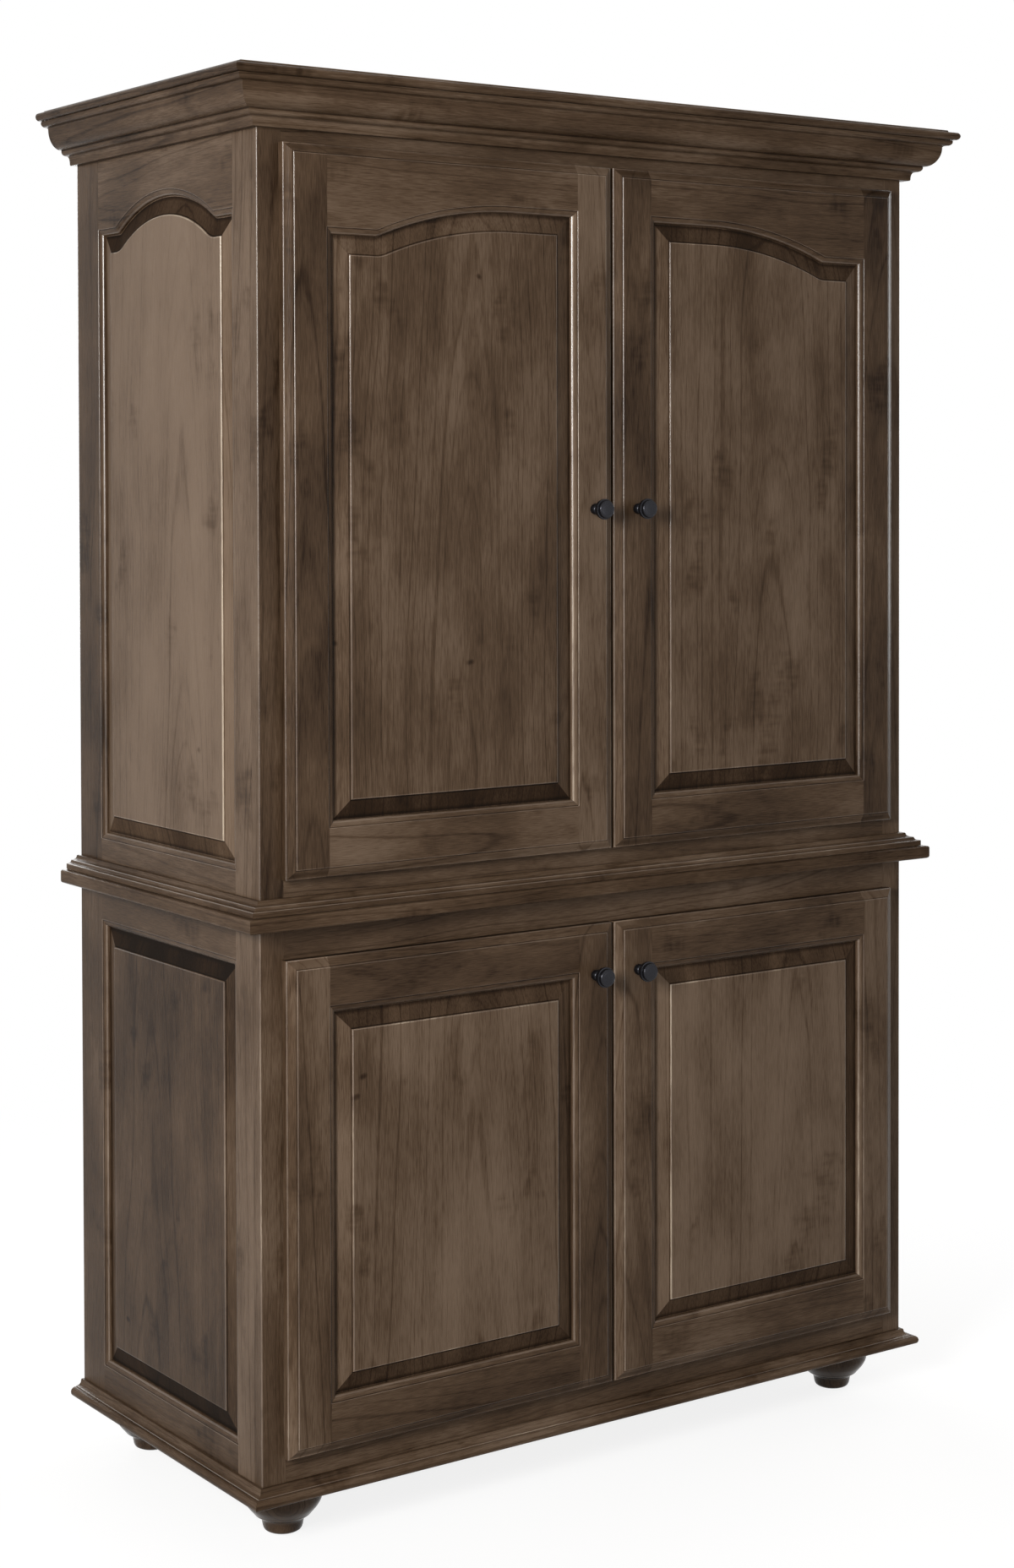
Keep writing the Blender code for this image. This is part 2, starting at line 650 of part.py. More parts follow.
def build_cases():
    lower, upper = BASE_TOP + SEAT, COUNTER_TOP + SEAT
    face_frame("lower_face_frame", lower, COUNTER_BOTTOM, LOWER_FACE_BOTTOM - SEAT, LOWER_FACE_TOP)
    face_frame("upper_face_frame", upper, UPPER_TOP, UPPER_FACE_BOTTOM - SEAT, UPPER_FACE_TOP)
    for side, hand in (("left", -1), ("right", 1)):
        case_side("lower_" + side, hand, lower, COUNTER_BOTTOM, LOWER_SIDE_BOTTOM, LOWER_SIDE_TOP, False)
        case_side("upper_" + side, hand, upper, UPPER_TOP, WAIST_HEIGHT + UPPER_SIDE_ABOVE_WAIST,
                  CROWN_HEIGHT + UPPER_SIDE_BELOW_CROWN, True)
    reach = INNER_X - SEAT
    for name, bottom, top in (("lower_back", lower, COUNTER_BOTTOM), ("upper_back", upper, UPPER_TOP)):
        add_piece(name, box((-reach, INNER_BACK_Y, bottom), (reach, BACK_Y, top)), INSIDE_WOOD)
    inner_board("lower_floor", LOWER_INSIDE_BOTTOM - BOARD_THICKNESS, SEAT)
    inner_board("upper_floor", UPPER_INSIDE_BOTTOM - BOARD_THICKNESS, SEAT)


# Mouldings: profiles as (distance out from the case, height above the moulding's bottom)
def crown_profile():
    out, tall = CROWN_PROJECTION, CROWN_HEIGHT
    foot = 0.20 * out
    profile = [(SEAT, 0), (0.165 * out, 0)]
    profile += quarter((0.165 * out, 0), (foot, 0.04 * tall), True, 2)
    profile += quarter((foot, 0.04 * tall), (0.265 * out, 0.21 * tall), False, BEAD_STEPS)
    profile += [(0.31 * out, 0.22 * tall)]
    profile += quarter((0.31 * out, 0.22 * tall), (0.435 * out, 0.315 * tall), True, BEAD_STEPS)
    profile += [(0.435 * out, 0.348 * tall), (0.45 * out, 0.35 * tall)]
    profile += quarter((0.45 * out, 0.35 * tall), (0.80 * out, 0.83 * tall), True, 2 * BEAD_STEPS)
    profile += quarter((0.80 * out, 0.83 * tall), (0.89 * out, 0.866 * tall), False, 2)
    profile += quarter((0.89 * out, 0.866 * tall), (out, 0.96 * tall), True, BEAD_STEPS)
    profile += [(out, tall), (SEAT, tall)]
    return profile


def waist_profile():
    out, tall = WAIST_PROJECTION, WAIST_HEIGHT
    profile = [(SEAT, 0), (out, 0), (out, 0.26 * tall)]
    profile += quarter((out, 0.26 * tall), (0.68 * out, 0.62 * tall), False, BEAD_STEPS)
    profile += [(0.66 * out, 0.68 * tall), (0.62 * out, 0.705 * tall)]
    profile += quarter((0.62 * out, 0.705 * tall), (0.30 * out, 0.90 * tall), True, BEAD_STEPS)
    profile += quarter((0.30 * out, 0.90 * tall), (0.20 * out, tall), False, 2)
    profile += [(SEAT, tall)]
    return profile


def counter_edge():
    out, tall = COUNTER_PROJECTION, COUNTER_THICKNESS
    profile = [(0.83 * out, SEAT)]
    profile += quarter((0.83 * out, SEAT), (out, 0.5 * tall), True, BEAD_STEPS)
    profile += quarter((out, 0.5 * tall), (0.84 * out, tall), False, BEAD_STEPS)
    return profile


def base_edge():
    out, tall = BASE_PROJECTION, BASE_THICKNESS
    profile = [(0.84 * out, SEAT)]
    profile += quarter((0.84 * out, SEAT), (out, 0.27 * tall), True, BEAD_STEPS)
    profile += quarter((out, 0.27 * tall), (0.66 * out, 0.56 * tall), False, BEAD_STEPS)
    profile += [(0.61 * out, 0.545 * tall), (0.585 * out, 0.60 * tall)]
    profile += quarter((0.585 * out, 0.60 * tall), (0.25 * out, 0.85 * tall), True, BEAD_STEPS)
    profile += [(0.225 * out, 0.94 * tall)]
    profile += quarter((0.225 * out, 0.94 * tall), (0.16 * out, tall), False, 2)
    return profile


def top_edge():
    out, tall = TOP_PROJECTION, TOP_THICKNESS
    profile = [(0.91 * out, SEAT)]
    profile += quarter((0.91 * out, SEAT), (out, 0.38 * tall), True, BEAD_STEPS)
    profile += quarter((out, 0.38 * tall), (0.92 * out, 0.74 * tall), False, BEAD_STEPS)
    profile += [(0.84 * out, 0.755 * tall)]
    profile += quarter((0.84 * out, 0.755 * tall), (0.79 * out, tall), True, BEAD_STEPS)
    return profile


def mitred_moulding(name, profile, bottom):
    """Moulding round the left, front and right of the case, mitred at the two front corners."""
    def ring(side, at_back):
        points = []
        for out, up in profile:
            y = BACK_Y if at_back else FRONT_Y - out
            points.append((side * (SIDE_X + out), y, bottom + up))
        return points
    rings = [ring(-1, True), ring(-1, False), ring(1, False), ring(1, True)]
    return add_piece(name, loft(rings), MOULDING_WOOD)


def moulded_board(name, profile, bottom):
    """Board over the whole case with a routed edge on the front and both ends, square behind."""
    rings = []
    for out, up in profile:
        reach, front = SIDE_X + out, FRONT_Y - out
        rings.append([(-reach, BACK_Y, bottom + up), (-reach, front, bottom + up),
                      (reach, front, bottom + up), (reach, BACK_Y, bottom + up)])
    return add_piece(name, loft(rings), MOULDING_WOOD)


def build_mouldings():
    moulded_board("base_board", base_edge(), FOOT_HEIGHT)
    moulded_board("counter", counter_edge(), COUNTER_BOTTOM)
    moulded_board("top_board", top_edge(), UPPER_TOP)
    mitred_moulding("waist_moulding", waist_profile(), COUNTER_TOP + SEAT)
    mitred_moulding("crown_moulding", crown_profile(), UPPER_TOP - CROWN_HEIGHT)


# Feet
def foot_profile():
    """Bun foot from the floor up: small base, flared neck, collar line and squat ball."""
    base, ball, tall = FOOT_BASE_RADIUS, FOOT_RADIUS, FOOT_HEIGHT
    collar = base + 0.30 * (ball - base)
    profile = [(0, 0), (0.94 * base, 0), (base, 0.02 * tall), (1.02 * base, 0.07 * tall)]
    profile += quarter((1.02 * base, 0.07 * tall), (collar, 0.235 * tall), False, 3)
    seam = (collar + 0.06 * (ball - base), 0.258 * tall)
    profile += [(collar, 0.25 * tall), seam]
    profile += quarter(seam, (ball, 0.66 * tall), True, BALL_STEPS)
    profile += quarter((ball, 0.66 * tall), (FOOT_TOP_RADIUS, tall), False, BALL_STEPS)
    profile += [(0, tall)]
    return profile


def build_feet():
    x = SIDE_X - FOOT_INSET
    for end, y in (("front", FRONT_Y + FOOT_INSET), ("back", BACK_Y - FOOT_INSET)):
        for side, hand in (("left", -1), ("right", 1)):
            bm = turned(foot_profile(), TURNED_SEGMENTS)
            bmesh.ops.translate(bm, vec=(hand * x, y, 0), verts=bm.verts)
            smooth_round(add_piece(end + "_" + side + "_foot", bm, FOOT_WOOD))


# Inside
def glass_rack():
    """Board under the top rail with hanging T rails that hold stemware by its feet."""
    reach = INNER_X - SEAT
    bottom, top = UPPER_INSIDE_TOP, UPPER_INSIDE_TOP + RACK_BOARD_THICKNESS
    half_stem, half_lip = GLASS_RAIL_STEM / 2, (GLASS_RAIL_PITCH - GLASS_SLOT) / 2
    lip_top = bottom - GLASS_RAIL_DROP
    low = lip_top - GLASS_RAIL_LIP
    outline = [(reach, top), (-reach, top), (-reach, bottom)]
    for i in range(GLASS_RAIL_COUNT):
        x = GLASS_RAIL_PITCH * (i - (GLASS_RAIL_COUNT - 1) / 2)
        outline += [(x - half_stem, bottom), (x - half_stem, lip_top), (x - half_lip, lip_top),
                    (x - half_lip, low), (x + half_lip, low), (x + half_lip, lip_top),
                    (x + half_stem, lip_top), (x + half_stem, bottom)]
    outline.append((reach, bottom))
    bm = prism(outline, lambda a, b, station: (a, station, b), INNER_FRONT_Y + SEAT,
               INNER_BACK_Y - SEAT)
    add_piece("glass_rack", bm, INSIDE_WOOD)


def bottle_bins():
    """Standing grid of crossed boards whose bins hold bottles on their sides."""
    reach = INNER_X - SEAT
    floor = LOWER_INSIDE_BOTTOM + SEAT
    front = INNER_FRONT_Y + BIN_SETBACK
    back = front + BIN_DEPTH
    width = (2 * reach - BIN_BOARD) / BIN_COLUMNS
    height = BIN_HEIGHT + BIN_BOARD
    grid = add_piece("bottle_bins", box((-reach, front, floor),
                                        (reach, back, floor + BIN_ROWS * height + BIN_BOARD)), INSIDE_WOOD)
    for column in range(BIN_COLUMNS):
        left = -reach + BIN_BOARD + column * width
        for row in range(BIN_ROWS):
            bottom = floor + BIN_BOARD + row * height
            cut(grid, box((left, front - CUT_MARGIN, bottom),
                          (left + width - BIN_BOARD, back + CUT_MARGIN, bottom + BIN_HEIGHT)))


def build_inside():
    inner_board("upper_shelf", UPPER_INSIDE_BOTTOM + SHELF_HEIGHT, SHELF_SETBACK)
    glass_rack()
    bottle_bins()


def main():
    clear_scene()
    build_feet()
    build_mouldings()
    build_cases()
    build_inside()
    build_doors()


main()
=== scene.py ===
"""Looks of a two-piece wine cabinet: eased and stained wooden pieces, turned feet, knobs, hinges."""
import random
from math import acos, cos, pi, radians, sin

import bmesh
import bpy
from bpy.props import FloatProperty, FloatVectorProperty, IntProperty, PointerProperty
from mathutils import Matrix, Vector


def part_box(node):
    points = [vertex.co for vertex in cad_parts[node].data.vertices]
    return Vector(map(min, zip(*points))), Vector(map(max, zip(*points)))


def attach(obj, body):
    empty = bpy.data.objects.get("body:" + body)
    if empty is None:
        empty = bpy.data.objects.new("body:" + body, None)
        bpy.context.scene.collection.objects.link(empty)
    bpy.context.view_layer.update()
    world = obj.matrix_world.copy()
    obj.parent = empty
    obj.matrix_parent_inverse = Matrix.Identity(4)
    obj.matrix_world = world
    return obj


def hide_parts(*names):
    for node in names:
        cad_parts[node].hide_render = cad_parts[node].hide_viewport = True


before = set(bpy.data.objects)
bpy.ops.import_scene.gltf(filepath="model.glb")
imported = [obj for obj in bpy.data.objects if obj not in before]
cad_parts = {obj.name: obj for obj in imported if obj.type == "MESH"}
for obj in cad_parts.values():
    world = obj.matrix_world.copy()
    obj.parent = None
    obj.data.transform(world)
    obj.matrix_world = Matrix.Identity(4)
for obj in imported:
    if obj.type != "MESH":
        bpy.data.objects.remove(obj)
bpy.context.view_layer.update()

bl_info = {
    "name": "Wine cabinet",
    "version": (1, 0, 0),
    "blender": (4, 5, 0),
    "location": "3D View > Sidebar > Cabinet",
    "description": "Builds the dressed pieces of a raised-panel wine cabinet around its CAD frame",
    "category": "Object",
}

# Planes and levels read from the frame
LOWER_FACE_LOW, LOWER_FACE_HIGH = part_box("lower_face_frame")
UPPER_FACE_LOW, UPPER_FACE_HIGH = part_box("upper_face_frame")
SIDE_X = UPPER_FACE_HIGH.x
FRONT_Y = UPPER_FACE_LOW.y
BACK_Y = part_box("upper_back")[1].y
DOOR_FACE_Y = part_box("upper_left_door_lock_stile")[0].y
DOOR_BACK_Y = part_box("upper_left_door_lock_stile")[1].y
DOOR_THICKNESS = DOOR_BACK_Y - DOOR_FACE_Y
SIDE_THICKNESS = SIDE_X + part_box("upper_left_side_frame")[1].x
BASE_BOTTOM, BASE_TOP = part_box("base_board")[0].z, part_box("base_board")[1].z
COUNTER_BOTTOM, COUNTER_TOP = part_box("counter")[0].z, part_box("counter")[1].z
CROWN_BOTTOM, CROWN_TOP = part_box("crown_moulding")[0].z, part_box("crown_moulding")[1].z
TOP_BOTTOM, TOP_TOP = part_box("top_board")[0].z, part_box("top_board")[1].z
WAIST_BOTTOM, WAIST_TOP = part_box("waist_moulding")[0].z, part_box("waist_moulding")[1].z
CROWN_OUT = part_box("crown_moulding")[1].x - SIDE_X
TOP_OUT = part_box("top_board")[1].x - SIDE_X
WAIST_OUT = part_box("waist_moulding")[1].x - SIDE_X
COUNTER_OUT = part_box("counter")[1].x - SIDE_X
BASE_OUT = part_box("base_board")[1].x - SIDE_X

# Sizes the part's source gives to its joints and routed edges, in metres
FACE_STILE = 0.0385
LOWER_FACE_BOTTOM = 0.041
LOWER_FACE_TOP = 0.050
UPPER_FACE_BOTTOM = 0.052
UPPER_FACE_TOP = 0.089
DOOR_RAIL = 0.0795
DOOR_ARCH_RISE = 0.046
DOOR_ARCH_SHOULDER = 0.0725
DOOR_ARCH_CREST = 0.1105
SIDE_FRONT_STILE = 0.058
SIDE_BACK_STILE = 0.0825
LOWER_SIDE_RAILS = (0.050, 0.0605)
UPPER_SIDE_RAILS = (0.064, 0.180)
SIDE_ARCH_RISE = 0.044
SIDE_ARCH_SHOULDER = 0.0456
ARCH_CORNER_RADIUS = 0.020
LIP_WIDTH = 0.0135
LIP_STEP = 0.0016
LIP_DROP = 0.0075
STICK_WIDTH = 0.0095
STICK_STEP = 0.001
STICK_DEPTH = 0.007
GROOVE_FRONT = 0.0085
GROOVE_BACK = 0.0139
PANEL_TONGUE = 0.008
PANEL_MARGIN = 0.0015
PANEL_BEVEL = 0.028
PANEL_STEP = 0.0022
PANEL_SETBACK = 0.0012
HINGE_CUP_CENTRE = 0.0205
HINGE_CUP_RADIUS = 0.0175
KNOB_LENGTH = 0.035
FOOT_BASE_RADIUS = 0.0275
FOOT_TOP_RADIUS = 0.040

# Widths that only the looks need, in metres
JOINT_LINE = 0.00015  # gap at a glued joint
HOLLOW_WIDTH = 0.008  # widest routed step whose corner holds glaze and painted shade
HOLLOW_STRIP = 0.0025  # glaze and painted shade along the foot of a panel's field
SHORTEST_EASED = 0.0015  # shorter edges stay sharp
PANEL_EASE = 0.0018  # rounds of the panels' fields
MOULDING_EASE = 0.0009  # rounds of the mouldings
FOOT_EASE = 0.0004  # rounds of the feet
METAL_EASE = 0.0002  # rounds of the knobs and hinges
CORE_INSET = 0.00015  # how far a moulded board's core lies inside its border
BORDER_WIDTH = 0.075  # width of that border
SEAT_GAP = 0.0003  # gap between a moulding or a knob and the face that it stands on
SLIVER = 0.00002  # thinner faces, left by the easing, are dissolved
ON_AXIS = 0.000001  # a smaller radius is a point on the axis

# Screws, shelf pins and hinge cups, in metres
SCREW_RADIUS = 0.0036
SCREW_PROUD = 0.0008
BACK_SCREW_SPACING = 0.2
BACK_SCREW_END = 0.05  # from a back's ends to the first screws of its sides
BACK_SCREW_SIDE = 0.014  # from a back's sides
BACK_SCREW_RAIL = 0.03  # from a back's ends to the screws along them
BACK_SCREW_COLUMNS = (-0.36, -0.12, 0.12, 0.36)
PIN_INSET = 0.05  # from the shelf's front and back
PIN_DROP = 0.0044  # from the shelf's underside to the pin's middle
CUP_SCREW_RISE = 0.0235  # above and below the cup's middle
CUP_SCREW_SHIFT = 0.004  # away from the door's edge
CUP_DEPTH = 0.0101
BORE_DEPTH = 0.0106

# How the stain was rubbed off and left standing, and where painted shade and highlight are laid, as
# shares
HOLLOW_GLAZE_AND_SHADE = 3.0  # glaze and painted shade in hollow corners
LEVEL_EDGE_DARKENING = 0.22  # darkening of the doors' level narrow sides
SHADED_FAR_ROUND_RUB = 0.4  # rubbing of rounds turned to the right, kept low so they are painted darker: painted shade
UPPER_BEVEL_SHADE = 1.7  # painted shade on the upper bevels of the arched side panels
SQUARE_BEVEL_SHADE_SHARE = 0.3  # as much of that on the square ones
SIDE_RAIL_TONE = -0.04  # the sides' rails took a little more stain
SIDE_EDGE_SHEEN_LIFT = {"upper_face_frame_left_stile": 0.19, "lower_face_frame_left_stile": 0.07}  # painted sheen: the face frames' left edges, on the cabinet's side, as pale as that side's front stiles
FAR_BEVEL_SHADE = {"lower_left_door": 0.14, "lower_right_door": 0.22}  # painted shade on right-hand bevels
TOP_BEVEL = 0.9  # share of the end-grain darkening kept on a panel's upper bevel; the lower bevel keeps all of it, as painted shade
TOP_BEVELS = {"upper_left_door": 0.35}
STICK_CROWN = (0.5, 0.75)  # rubbed part of the sticking's quarter round, paler also as painted highlight

# Angles at which two faces meet
SHARP_ANGLE = radians(50)  # the edge is eased
HOLLOW_ANGLE = radians(35)  # the corner holds glaze and painted shade
CRISP_ANGLE = radians(6)  # the edge stays crisp
SMOOTH_ANGLE = radians(38)  # the faces are shaded apart
FLAT_ANGLE = radians(0.6)  # the faces count as one

# How far a face's normal leans towards an axis, as a part of 1
END_SLANT = 0.65  # along the grain: a board's end or mitre
BEVEL_SLANT = 0.1  # along the grain: a panel's upper bevel
FAR_ROUND_SLANT = 0.3  # to the right: a round on the far side
FAR_SLANT = 0.1  # to the right: a bevel on the far side
UPRIGHT_SLANT = 0.05  # up: less than this is an upright round
LEVEL_SLANT = 0.9  # up: a level edge
EDGE_SLANT = 0.15  # through the board: less than this is an edge
ROUTED_SLANTS = (0.2, 0.97)  # through the board: a routed face
MITRE_SLANT = 0.3  # across and up: an edge on the slant

# Facets of the curves
BORE_STEPS = 32
EASE_STEPS = 3
ARC_STEPS = 40
CORNER_STEPS = 10
STICK_STEPS = 8
LIP_STEPS = 10
BEAD_STEPS = 8
FILLET_STEPS = 4
FOOT_STEPS = 5
TURN_SEGMENTS = 72
CUP_SEGMENTS = 48
SCREW_SEGMENTS = 20

# Which axes a piece's board lies along: across its grain, through its thickness, along its grain
UPRIGHT_FRONT = (0, 1, 2)
LEVEL_FRONT = (2, 1, 0)
UPRIGHT_SIDE = (1, 0, 2)
LEVEL_SIDE = (2, 0, 1)
FLAT_WIDE = (1, 2, 0)
FLAT_DEEP = (0, 2, 1)

# How much lighter or darker single boards are than the rest: how they took the stain, and on the left
# side also painted sheen and shade
BOARD_STAIN_AND_SIDE_SHEEN = {
    # On the left side the front stiles and the upper panel are painted lighter, as painted sheen, and the
    # back stiles and the lower panel darker, as painted shade
    "upper_left_back_stile": -0.09,
    "upper_left_front_stile": 0.11,
    "upper_left_top_rail": 0.05,
    "upper_left_panel": 0.20,
    "lower_left_panel": -0.12,
    "lower_left_front_stile": 0.12,
    "upper_face_frame_right_stile": 0.06,
    "lower_face_frame_left_stile": 0.05,
    "top_board-1": -0.12,
    "lower_left_back_stile": -0.05,
    "upper_left_door_raised_panel": 0.02,
    "upper_right_door_raised_panel": 0.03,
    "lower_left_door_raised_panel": 0.11,
    "lower_right_door_raised_panel": 0.14,
    "upper_left_door_hinge_stile": -0.09,
    "upper_left_door_lock_stile": 0.12,
    "upper_right_door_lock_stile": -0.06,
    "upper_right_door_hinge_stile": -0.08,
    "lower_left_door_top_rail": -0.08,
    "lower_right_door_top_rail": -0.05,
    "lower_left_door_bottom_rail": -0.07,
    "lower_right_door_bottom_rail": 0.0,
    "lower_right_door_hinge_stile": 0.06,
    "lower_face_frame_right_stile": 0.06,
    "upper_face_frame_left_stile": -0.08,
}

# Each door's body, with the way across it from its hinges: 1 to the right, -1 to the left
DOORS = {
    "upper_left_door": 1,
    "upper_right_door": -1,
    "lower_left_door": 1,
    "lower_right_door": -1,
}


def linear(code):
    """An sRGB hex colour as linear red, green and blue."""
    parts = [int(code[i:i + 2], 16) / 255 for i in (1, 3, 5)]
    return [p / 12.92 if p <= 0.04045 else ((p + 0.055) / 1.055) ** 2.4 for p in parts]


def colour(label, text, code):
    """A colour that a user can change."""
    return FloatVectorProperty(name=label, description=text, subtype="COLOR", size=3,
                               min=0, max=1, default=linear(code))


def length(label, text, value, low, high):
    """A length in metres that a user can change."""
    return FloatProperty(name=label, description=text, unit="LENGTH", default=value,
                         min=low, max=high, precision=5)


class CabinetColours(bpy.types.PropertyGroup):
    """Stain, metal and studio colours."""
    # The darkest stain is also the painted shade in hollow corners and on shaded bevels
    stain_darkest: colour("Darkest stain", "Stain soaked into end grain and corners", "#120a04")
    stain_dark: colour("Dark stain", "Latewood lines and dark streaks", "#2a1d12")
    stain_middle: colour("Middle stain", "Most of the wood", "#4d3c2d")
    stain_light: colour("Light stain", "Pale streaks between the dark ones", "#6e5c4c")
    # The rubbed stain is also painted highlight along the eased edges
    stain_rubbed: colour("Rubbed stain", "Edges where the stain is sanded thin", "#bfae97")
    knob_black: colour("Knob black", "Blackened bronze of the knobs", "#26262a")
    knob_rubbed: colour("Rubbed knob", "Ring edges worn by fingers", "#5f5e60")
    hinge_nickel: colour("Hinge nickel", "Plated hinge steel", "#b9b6ae")
    floor_pale: colour("Floor", "Paper sweep under the cabinet", "#f4f3f1")


class CabinetSizes(bpy.types.PropertyGroup):
    """Sizes of the edge work and of the wood's figure."""
    ease: length("Eased edge", "Sanded round along every sharp wooden edge", 0.0015, 0.0002, 0.002)
    ring_width: length("Ring width", "Spacing of the growth rings", 0.010, 0.002, 0.03)
    fibre_width: length("Fibre width", "Width of one drawn fibre line", 0.0011, 0.0005, 0.01)
    streak_width: length("Streak width", "Width of the light and dark streaks", 0.034, 0.005, 0.1)
    blotch_size: length("Blotch size", "Size of the uneven patches of stain", 0.100, 0.02, 0.5)
    stave_width: length("Stave width", "Width of the boards glued up into a panel", 0.140, 0.03, 0.4)
    turn_segments: IntProperty(name="Turned segments", description="Facets round feet and knobs",
                               default=TURN_SEGMENTS, min=16, max=128)


def node(tree, kind, inputs=None, **settings):
    """Adds a node; settings are its own choices, inputs are socket values or sockets to link."""
    made = tree.nodes.new(kind)
    for key, value in settings.items():
        setattr(made, key, value)
    for key, value in (inputs or {}).items():
        if isinstance(value, bpy.types.NodeSocket):
            tree.links.new(value, made.inputs[key])
        else:
            made.inputs[key].default_value = value
    return made


def new_material(name):
    """A material with no nodes yet."""
    material = bpy.data.materials.new(name)
    material.use_nodes = True
    material.node_tree.nodes.clear()
    return material


def stained_maple(name, shade, roughness, sheen, staves):
    """Maple under a grey-brown wiping stain and satin lacquer.

    The eye sees fine fibre lines, soft light and dark streaks along the grain, thin dark growth
    rings that close into pointed figures, patches of uneven stain, a few small knots, dark end
    grain where a bevel cuts across the fibres, and pale edges where the stain was sanded thin.
    The pale edges are also painted highlight. Hollow corners, end grain facing down, the side
    panels' upper bevels and faces turned to the right are painted darker as painted shade, and
    rounds turned to the right or running level are left less pale, also as painted shade.
    shade is the middle tone, sheen the specular level, and staves says whether the piece is glued
    up from several boards, which also show knots.
    """
    if name in bpy.data.materials:
        return bpy.data.materials[name]
    sizes, tints = bpy.context.scene.cabinet_sizes, bpy.context.scene.cabinet_colours
    material = new_material(name)
    tree = material.node_tree
    board = node(tree, "ShaderNodeAttribute", attribute_name="board").outputs["Vector"]
    seed = node(tree, "ShaderNodeAttribute", attribute_name="seed").outputs["Fac"]
    tone = node(tree, "ShaderNodeAttribute", attribute_name="tone").outputs["Fac"]
    rubbed = node(tree, "ShaderNodeAttribute", attribute_name="rubbed").outputs["Fac"]
    ends = node(tree, "ShaderNodeAttribute", attribute_name="end_grain_and_shade").outputs["Fac"]
    recess = node(tree, "ShaderNodeAttribute", attribute_name="recess").outputs["Fac"]
    cut = node(tree, "ShaderNodeAttribute", attribute_name="cut").outputs["Fac"]
    place = node(tree, "ShaderNodeVectorMath", {0: seed, 1: (17.3, 9.1, 31.7), 2: board},
                 operation="MULTIPLY_ADD").outputs[0]

    # Feature sizes in metres across, through and along the grain, with the noise's detail. Fibres of
    # about 0.4 mm are drawn nearly three times wider, because a finer line doesn't show at the
    # render's 1 to 2 mm to a pixel
    patterns = {
        "sway": ((0.30, 0.30, 0.9), 2.0),
        "streak": ((sizes.streak_width, sizes.streak_width, 0.5), 3.0),
        "fibre": ((sizes.fibre_width, sizes.fibre_width, 0.022), 2.0),
        "blotch": ((sizes.blotch_size, sizes.blotch_size, 2.2 * sizes.blotch_size), 4.0),
        "curl": ((0.050, 0.050, 0.010), 1.0),
        "smudge": ((0.080, 0.080, 0.130), 3.0),
    }
    field = {}
    for key, (size, detail) in patterns.items():
        scaled = node(tree, "ShaderNodeVectorMath", {0: place, 1: [1 / s for s in size]},
                      operation="MULTIPLY").outputs[0]
        made = node(tree, "ShaderNodeTexNoise", {"Vector": scaled, "Scale": 1.0, "Detail": detail,
                                                 "Roughness": 0.55})
        field[key] = node(tree, "ShaderNodeMapRange", {"Value": made.outputs["Fac"], "From Min": 0.3,
                                                       "From Max": 0.7, "To Min": -1.0}).outputs[0]
        if key == "sway":
            drift = node(tree, "ShaderNodeVectorMath",
                         {0: made.outputs["Color"], 1: (0.5, 0.5, 0.5)}, operation="SUBTRACT")
            bent = node(tree, "ShaderNodeVectorMath",
                        {0: drift.outputs[0], 1: (0.075, 0.060, 0.0), 2: board},
                        operation="MULTIPLY_ADD").outputs[0]

    # Growth rings round a pith that leans away from the board, so they close into points
    split = node(tree, "ShaderNodeSeparateXYZ", {0: bent})
    lean = node(tree, "ShaderNodeMath", {0: split.outputs["Z"], 1: 0.045, 2: split.outputs["Y"]},
                operation="MULTIPLY_ADD").outputs[0]
    flat = node(tree, "ShaderNodeCombineXYZ", {0: split.outputs["X"], 1: lean}).outputs[0]
    radius = node(tree, "ShaderNodeVectorMath", {0: flat}, operation="LENGTH").outputs["Value"]
    # Years of unequal growth: the spacing and the strength of the lines change with the radius
    years = {}
    for key, thickness in (("spacing", 0.022), ("strength", 0.013)):
        count = node(tree, "ShaderNodeMath", {0: radius, 1: 1 / thickness, 2: seed},
                     operation="MULTIPLY_ADD").outputs[0]
        made = node(tree, "ShaderNodeTexNoise", {"W": count, "Scale": 1.0}, noise_dimensions="1D")
        years[key] = node(tree, "ShaderNodeMapRange", {"Value": made.outputs["Fac"], "From Min": 0.35,
                                                       "From Max": 0.65}).outputs[0]
    uneven_years = node(tree, "ShaderNodeMath", {0: years["spacing"], 1: 4.0, 2: field["streak"]},
                        operation="MULTIPLY_ADD").outputs[0]
    phase = node(tree, "ShaderNodeMath", {0: radius, 1: 2 * pi / sizes.ring_width, 2: uneven_years},
                 operation="MULTIPLY_ADD").outputs[0]
    wave = node(tree, "ShaderNodeMath", {0: phase}, operation="SINE").outputs[0]
    lifted = node(tree, "ShaderNodeMapRange", {"Value": wave, "From Min": -1.0}).outputs[0]
    line = node(tree, "ShaderNodeMath", {0: lifted, 1: 12.0}, operation="POWER").outputs[0]
    ring = node(tree, "ShaderNodeMath", {0: line, 1: years["strength"]},
                operation="MULTIPLY").outputs[0]

    # Across an end the fibres show as dots too small to see
    side_grain = node(tree, "ShaderNodeMapRange", {"Value": cut, "From Min": 0.6, "From Max": 0.1},
                      interpolation_type="SMOOTHSTEP").outputs[0]
    flecks = node(tree, "ShaderNodeMath", {0: field["fibre"], 1: side_grain},
                  operation="MULTIPLY").outputs[0]

